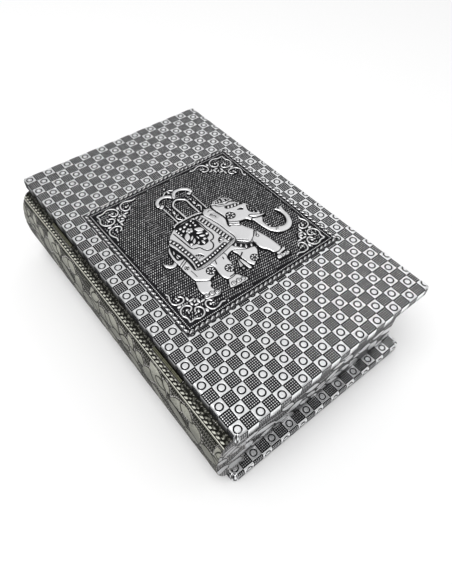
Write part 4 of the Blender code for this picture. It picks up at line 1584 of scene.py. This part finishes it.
def draw_forequarters(relief):
    """The near foreleg, and the neck with its ear."""
    relief.form(FORE_FOOT, 0.4, 0.3, 0.7)
    for x, y, radius in ((67.5, 11.0, 1.45), (70.7, 10.8, 0.85), (73.2, 10.6, 0.85)):
        relief.bead(x, y, radius, 0.5, 0.4)
    relief.form(FORE_ANKLE, 0.6, 0.3, 0.6)
    relief.form(NEAR_FORELEG, 0.6, 0.55, 2.6)
    relief.form(NECK, 0.65, 0.55, 2.8)
    for line in (
        ((56.1, 33.4), (58.4, 31.2), (60.8, 28.9)), ((57.4, 34.2), (59.6, 32.0), (61.8, 29.9)),
        ((66.2, 30.6), (67.4, 31.8), (68.7, 33.4)), ((67.2, 29.8), (68.6, 31.2), (69.6, 32.6)),
    ):
        relief.engrave(line, 0.36, 0.16)
    relief.engrave(((54.4, 32.4), (56.5, 29.9), (58.6, 27.8), (62.2, 26.3)), 2.4, 0.28)
    for x, y, angle, length in (
        (53.3, 30.4, 47, 3.0), (55.6, 28.6, 45, 2.3), (57.4, 25.9, 62, 3.1), (60.4, 25.2, 62, 2.4),
    ):
        relief.leaf(x, y, angle, length, 0.72, 0.75, 0.4, halo=0.2)
    relief.leaf(67.3, 28.6, 48, 2.2, 0.7, 1.0, 0.3, halo=0.35)
    relief.sink(EAR_SHADE, 0.05, tone=0.84)
    for line in (
        ((57.6, 60.4), (59.0, 61.0), (60.6, 60.3)),
        ((56.9, 57.4), (57.9, 58.2), (58.4, 57.2), (57.8, 56.8)),
        ((58.4, 56.2), (59.2, 55.4), (58.8, 54.4)),
    ):
        relief.engrave(line, 0.3, 0.12, 0.2)


def draw_elephant(relief):
    """The elephant but for its howdah, from what lies lowest to what lies highest."""
    relief.aim(LOW_SHIFT)
    draw_far_legs(relief)
    draw_hindquarters(relief)
    draw_forequarters(relief)
    relief.aim(SADDLE_SHIFT)
    draw_saddle(relief)
    relief.aim(LOW_SHIFT)
    draw_head(relief)
    relief.aim((0.0, 0.0))


def draw_howdah(relief):
    """The howdah: platform, posts, arch, and the canopy with its drops."""
    relief.aim(HOWDAH_SHIFT)
    post = {"base": 0.35, "rise": 0.4, "steps": 0, "halo": 0.7}
    relief.rib([(39.9, 64.4), (39.7, 78.0)], 0.5, **post)
    relief.rib([(59.8, 64.4), (59.8, 78.2)], 0.42, **post)
    relief.rib(HOWDAH_ARCH, 0.66, 0.35, 0.45, halo=0.7)
    for side, x in ((-1, 42.4), (1, 57.0)):
        relief.leaf(x - side * 0.2, 70.8, 90 + side * 4, 3.2, 0.85, 0.25, 0.4)
        relief.rib(
            [(x - side * 1.3, 68.9), (x - side * 0.2, 69.3), (x + side * 0.9, 68.4),
             (x + side * 0.8, 67.0), (x - side * 0.1, 65.6), (x - side * 0.9, 64.4)],
            0.5, 0.25, 0.4, taper=True,
        )
        relief.leaf(x - side * 0.1, 75.0, 92, 2.4, 0.5, 0.2, 0.3)
        relief.bead(x - side * 0.3, 78.3, 0.6, 0.2, 0.3, tone=0.85)
        relief.bead(x - side * 2.0, 81.1, 0.85, 0.1, 0.25, tone=0.6)
    for hook in (HOOK_LEFT, HOOK_RIGHT):
        relief.form(hook, 0.4, 0.4, 0.8)
    for canopy in (CANOPY_LEFT, CANOPY_RIGHT):
        relief.rib(canopy, 1.12, 0.4, 0.5, halo=0.5)
    relief.leaf(49.7, 84.4, 270, 3.0, 0.8, 0.5, 0.4, halo=0.01)
    relief.rib(
        [(46.2, 88.1), (47.8, 89.2), (49.4, 89.8), (50.6, 89.8), (51.8, 89.1), (52.7, 88.2)],
        0.48, 0.3, 0.35,
    )
    relief.leaf(49.7, 90.2, 270, 3.6, 0.8, 0.4, 0.4, halo=0.6)
    relief.leaf(49.0, 91.4, 65, 2.0, 0.7, 0.3, 0.4)
    relief.rib(
        [(36.0, 62.3), (37.5, 63.2), (39.8, 63.6), (44.0, 63.7), (49.0, 63.6), (52.0, 63.2),
         (54.4, 62.5)], 0.52, 0.85, 0.35,
    )
    relief.aim((0.0, 0.0))


def make_elephant():
    """The elephant and its howdah, which stand out of the plaque's ground."""
    drawn = []
    for name, draw, low, high in (
        ("elephant_figure", draw_elephant, (14.4, 8.0), (94.4, 67.0)),
        ("elephant_howdah", draw_howdah, (34.2, 60.4), (62.4, 94.0)),
    ):
        x, y = even_grid(low, high, FIGURE_STEP)
        relief = Relief(x, y, drawn=False)
        draw(relief)
        relief.under_edges()
        plaque_piece(name, relief)
        drawn.append(relief)
    return drawn


# Leaves of the spine and the page walls.

# The spine's outer curve: a quarter of an ellipse above its centre and most of another one
# below it. How far the curve stands out, its centre from the lid's edge, and both heights.
SPINE_DEPTH = 9.0 * MM
SPINE_CENTRE = 1.0 * MM
SPINE_TOP_HALF = 22.2 * MM
SPINE_FOOT_HALF = 22.4 * MM
UPPER_STEPS = 120
LOWER_STEPS = 100
# Levels on the spine, from its top edge round the curve: the rope's lower side and the
# leaves' upper side, with the double line between them.
ROPE_FOOT = 5.6
LEAVES_TOP = 7.4
# A sheet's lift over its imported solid, and its heights where nothing is drawn and at its
# edges, which lie inside the solid.
LIFT = 0.03
FLAT = 0.04
SUNK = -0.1
# Grid steps: between levels, along the sheet, and between levels at the double line.
LEAF_GRID = 0.42
FINE_GRID = 0.25
RIM_GRID = 0.15
# The room round a hinge, how far the walls' foil folds over their tops, and the room for
# rounding where places are compared.
HINGE_GAP = 0.35 * MM
WALL_CAP = 6.8 * MM
TINY = 0.01
# How far apart the hatching's strokes are.
HATCH_PITCH = 1.35
# The leaf pattern: the length that repeats, the height of one band, the share of the length
# that each next band is moved by, and how far a leaf reaches past the pattern's ends.
LEAF_REPEAT = 84.0
LEAF_BAND = 19.5
BAND_SHIFT = 0.41
LEAF_REACH = 9.0
# How much longer and wider the leaves are than in the list below, and their tone.
LEAF_GROWTH = 1.15
LEAF_SWELL = 1.25
LEAF_TONE = 0.73
# The pattern's scale on the spine, its ends and the walls, and the walls' brightness.
SPINE_SCALE = 1.3
END_SCALE = 1.2
WALL_SCALE = 1.1
WALL_LIGHT = 1.3
# Each leaf's place, angle, length and half width. Most hang towards the near end.
LEAVES = (
    (77.0, 0.8, 124, 10.6, 2.6), (70.3, 7.2, 168, 8.3, 2.1), (65.4, 5.9, 159, 9.4, 1.9),
    (62.7, 2.8, 155, 8.5, 1.9), (54.6, 3.4, 150, 4.6, 1.3), (53.3, 9.8, 170, 6.4, 1.6),
    (53.5, 9.0, 198, 6.8, 1.5), (46.4, 7.2, 148, 6.8, 1.7), (42.1, 4.9, 155, 6.0, 1.9),
    (37.1, 11.8, 199, 9.0, 2.6), (33.3, 0.8, 147, 14.0, 2.7), (20.7, 10.0, 161, 14.6, 2.0),
    (19.0, 7.6, 202, 9.6, 1.9), (6.4, 4.8, 130, 8.4, 2.8), (0.4, 12.7, 177, 8.4, 2.4),
    (81.5, 13.4, 190, 9.0, 2.2), (70.5, 14.6, 152, 8.6, 2.2), (61.0, 13.6, 200, 8.0, 1.9),
    (47.5, 14.4, 165, 9.0, 2.1), (31.0, 14.6, 152, 8.0, 2.0), (9.5, 16.4, 186, 8.0, 1.8),
    (76.5, 6.0, 205, 6.0, 1.6), (28.6, 5.0, 170, 5.8, 1.4), (13.5, 2.6, 165, 7.0, 1.8),
    (48.6, 1.4, 140, 5.6, 1.4), (24.6, 1.6, 150, 5.4, 1.3), (64.0, 17.6, 176, 7.6, 1.6),
)
# The two stems that wind along the leaves.
STEMS = (
    ((84.0, 9.0), (75.0, 10.8), (66.0, 9.0), (57.0, 9.6), (50.0, 6.4), (42.0, 9.4),
     (34.0, 12.0), (26.0, 9.6), (19.0, 8.4), (12.0, 10.0), (6.0, 12.2), (0.0, 9.0)),
    ((84.0, 17.0), (72.0, 15.0), (60.0, 17.6), (48.0, 15.6), (36.0, 17.6), (24.0, 15.6),
     (12.0, 17.6), (0.0, 17.0)),
)


def draw_leaves(relief, length, top, bottom, scale, shift, light=1.0):
    """Vines with pointed leaves over a hatched ground, between two levels of the sheet."""
    x, y = relief.x, relief.y
    zone = (y > top) & (y < bottom)
    bars = np.cos(2 * np.pi * x / HATCH_PITCH)
    weave = np.sin(x / 5.5 + shift) + np.sin(y / 4.0 + x / 9.0)
    rungs = np.where(weave > 0.9, np.cos(2 * np.pi * y / (4 * LEAF_GRID)), bars)
    relief.height[zone] = 0.05 * rungs[zone]
    relief.tone[zone] = light * np.maximum(0.05 + 0.60 * rungs[zone], 0.02)
    bands = max(1, round((bottom - top) / (LEAF_BAND * scale)))
    spread = (bottom - top) / bands / LEAF_BAND
    first = top - 0.2
    cycle = LEAF_REPEAT * scale
    for band in range(bands):
        base = first + band * spread * LEAF_BAND
        offset = shift + BAND_SHIFT * band * cycle
        for repeat in range(-1, int(length / cycle) + 2):
            start = repeat * cycle + offset % cycle
            if not -cycle - LEAF_REACH <= start <= length + LEAF_REACH:
                continue
            for stem in STEMS:
                line = [(start + scale * a, base + spread * b) for a, b in stem]
                relief.rib(line, 0.45, 0.06, 0.2, tone=0.66 * light, steps=4, halo=0.35)
            for a, b, angle, long, half_width in LEAVES:
                relief.leaf(
                    start + scale * a, base + spread * b, angle, LEAF_GROWTH * scale * long,
                    LEAF_SWELL * scale * half_width, 0.08, 0.16, tone=LEAF_TONE * light, halo=0.7,
                )
    outside = ~zone
    relief.height[outside] = np.minimum(relief.height[outside], FLAT)
    relief.tone[outside] = 0.06


def spine_section():
    """The spine's outer curve from its top to its foot: distance, x, z and direction."""
    centre_x = LID_LOW.x + SPINE_CENTRE
    centre_z = SPINE_HIGH.z - SPINE_TOP_HALF
    upper = np.radians(np.linspace(90, 0, UPPER_STEPS, endpoint=False))
    foot = math.asin((centre_z - SPINE_LOW.z) / SPINE_FOOT_HALF)
    lower = -np.linspace(0, foot, LOWER_STEPS)
    angle = np.concatenate([upper, lower])
    half = np.where(angle > 0, SPINE_TOP_HALF, SPINE_FOOT_HALF)
    x = centre_x - SPINE_DEPTH * np.cos(angle)
    z = centre_z + half * np.sin(angle)
    out = np.stack([-np.cos(angle) / SPINE_DEPTH, np.sin(angle) / half], 1)
    out /= np.linalg.norm(out, axis=1)[:, None]
    run = np.concatenate([[0], np.cumsum(np.hypot(np.diff(x), np.diff(z)))])
    return run / MM, x, z, out


def stops_between(values, step):
    """Even stops, about step apart, between each two of the values."""
    parts = [
        np.linspace(a, b, max(1, round((b - a) / step)), endpoint=False)
        for a, b in zip(values, values[1:])
    ]
    return np.concatenate(parts + [[values[-1]]])


def draw_spine_rim(relief, length):
    """The spine's upper edge: dim leaves and beads in painted shade, a two-strand rope, a double
    line.
    """
    for number, at in enumerate(np.arange(0.5, length, 4.3)):
        relief.leaf(at, 0.5, 48, 2.4, 0.5, 0.04, 0.1, tone=0.42, halo=0.3)
        relief.bead(at + 2.6, 1.0 + 0.3 * (number % 3), 0.5, 0.04, 0.12, tone=0.5)
    for at in np.arange(1.0, length - 2.0, 2.9):
        relief.leaf(at + 1.4, 3.2, 12, 2.1, 0.4, 0.05, 0.18, tone=0.8, halo=0.25)
        relief.leaf(at, 4.3, 20, 2.8, 0.6, 0.05, 0.28, tone=1.2, halo=0.25)
    for level, half_width, tone in ((6.25, 0.28, 1.6), (6.95, 0.14, 1.2)):
        relief.rib(
            [(0.0, level), (length, level)], half_width, 0.14, 0.06, tone=tone, steps=0, halo=0.2
        )


def hinge_notches():
    """Where the spine's face is cut out for the hinges, along it from its near end."""
    middle = (HINGE_LOW.y + HINGE_HIGH.y) / 2
    half = (HINGE_HIGH.y - HINGE_LOW.y) / 2 + HINGE_GAP
    return sorted(
        (sign * middle + side * half - SPINE_LOW.y) / MM for sign in (-1, 1) for side in (-1, 1)
    )


def spine_relief(length, notch, foot, gaps):
    """The pattern of the spine's face, and which places the hinges' notches take."""
    x, y = np.meshgrid(
        stops_between([0.0, *gaps, length], FINE_GRID),
        np.concatenate([
            stops_between([0.0, notch, ROPE_FOOT], LEAF_GRID)[:-1],
            stops_between([ROPE_FOOT, LEAVES_TOP], RIM_GRID)[:-1],
            stops_between([LEAVES_TOP, foot], LEAF_GRID),
        ]),
        indexing="ij",
    )
    relief = Relief(x, y, height=FLAT)
    draw_leaves(relief, length, LEAVES_TOP, foot - 0.4, SPINE_SCALE, 12.0)
    # Painted shade: the leaves darken as the spine's curve turns from facing up to facing out.
    relief.tone *= np.interp(y, (LEAVES_TOP, 20.0), (1.0, 0.78))
    # Painted shade: the strip under the lid's edge gets a dim, mottled tone.
    mottle = np.sin(x * 1.9 + 2 * np.sin(x / 5)) + np.sin(y * 2.3 + x * 0.6)
    shaded_strip = y < ROPE_FOOT
    relief.tone[shaded_strip] = np.clip(0.24 + 0.18 * mottle, 0.03, 0.6)[shaded_strip]
    draw_spine_rim(relief, length)
    relief.height[np.minimum(np.minimum(x, length - x), foot - y) < 0.2] = SUNK
    notched = np.zeros(x.shape, bool)
    for start, end in (gaps[:2], gaps[2:]):
        notched |= (x > start - TINY) & (x < end + TINY) & (y < notch + TINY)
    relief.height[notched] = SUNK
    return relief, notched


def make_spine():
    """The embossed face of the rounded spine, and its two ends."""
    run, curve_x, curve_z, out = spine_section()
    length = (SPINE_HIGH.y - SPINE_LOW.y) / MM
    notch_x = HINGE_LOW.x - HINGE_GAP
    notch = float(np.interp(-notch_x, -curve_x[:UPPER_STEPS], run[:UPPER_STEPS]))
    relief, notched = spine_relief(length, notch, float(run[-1]), hinge_notches())

    def place(a, b, height):
        rise = (LIFT + height) * MM
        return np.stack([
            np.interp(b, run, curve_x) + rise * np.interp(b, run, out[:, 0]),
            SPINE_LOW.y + a * MM,
            np.interp(b, run, curve_z) + rise * np.interp(b, run, out[:, 1]),
        ], 1)

    relief_mesh(
        "spine_leaves", relief, place, "reflection_tinted_foil", "box", cut_out=notched
    )
    for name, face_y, sign in (("near", SPINE_LOW.y, -1), ("far", SPINE_HIGH.y, 1)):
        make_spine_end(name, face_y, sign, curve_x, curve_z)


def make_spine_end(name, face_y, sign, curve_x, curve_z):
    """The flat end of the spine, which the same foil covers."""
    levels = np.linspace(SPINE_LOW.z, SPINE_HIGH.z, 104)
    outer = np.interp(levels, curve_z[::-1], curve_x[::-1])
    share = np.linspace(0, 1, 40)[:, None]
    x = (outer[None, :] * (1 - share) + SPINE_HIGH.x * share) / MM
    z = np.broadcast_to(levels / MM, x.shape)
    shift = LID_LOW.x / MM - 10.0
    relief = Relief(x - shift, z - SPINE_LOW.z / MM, height=FLAT, tone=0.1)
    draw_leaves(relief, 20.0, -1.0, 44.0, END_SCALE, 9.0 if sign < 0 else 22.0)

    def place(a, b, height):
        return np.stack([
            (a + shift) * MM, face_y + sign * (LIFT + height) * MM, SPINE_LOW.z + b * MM
        ], 1)

    relief_mesh("spine_end_" + name, relief, place, "wall_foil", "box")


def make_walls():
    """Leaf foil on the three page walls, folded over their tops."""
    low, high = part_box("near_wall_foil")[0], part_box("far_wall_foil")[1]
    top = high[2]
    cap = WALL_CAP / MM
    tall = (top - low[2]) / MM
    for number, (name, long, spot) in enumerate((
        ("near", high[0] - low[0], lambda a, out, z: (low[0] + a, low[1] - out, z)),
        ("far", high[0] - low[0], lambda a, out, z: (low[0] + a, high[1] + out, z)),
        ("fore", high[1] - low[1], lambda a, out, z: (high[0] + out, low[1] + a, z)),
    )):
        x, y = np.meshgrid(
            stops_between([0.0, cap, long / MM - cap, long / MM], FINE_GRID),
            stops_between([0.0, tall, tall + cap], LEAF_GRID), indexing="ij",
        )
        relief = Relief(x, y, height=FLAT, tone=0.1)
        draw_leaves(relief, long / MM, -1.0, tall + 0.02, WALL_SCALE, 11.0 * number, WALL_LIGHT)
        over = y > tall + TINY
        relief.height[over] = 0.03 + 0.03 * np.sin(x[over] * 1.7) * np.sin(y[over] * 2.3)
        relief.tone[over] = 0.7
        relief.height[y > tall + cap - 0.1] = SUNK

        def place(a, b, height):
            rise = (LIFT + height) * MM
            past = np.maximum(b - tall, 0) * MM
            flat = b > tall + TINY
            out = np.where(flat, -past, rise)
            z = np.where(flat, top + np.minimum(rise, 0.1 * MM), low[2] + b * MM)
            return np.stack(np.broadcast_arrays(*spot(a * MM, out, z)), 1)

        ends = (x < cap - TINY) | (x > long / MM - cap + TINY)
        hidden = over & ends & (name == "fore")
        relief_mesh(
            "wall_leaves_" + name, relief, place, "wall_foil", "box",
            cut_out=hidden,
        )


make_camera()
make_stage()
make_light()
bpy.context.scene.view_settings.view_transform = "Standard"
dress_cad_nodes()

make_covers()
make_linings()
make_plaque_ground()
make_dots(make_elephant() + make_scrolls())
make_plaque_rope()
make_spine()
make_walls()
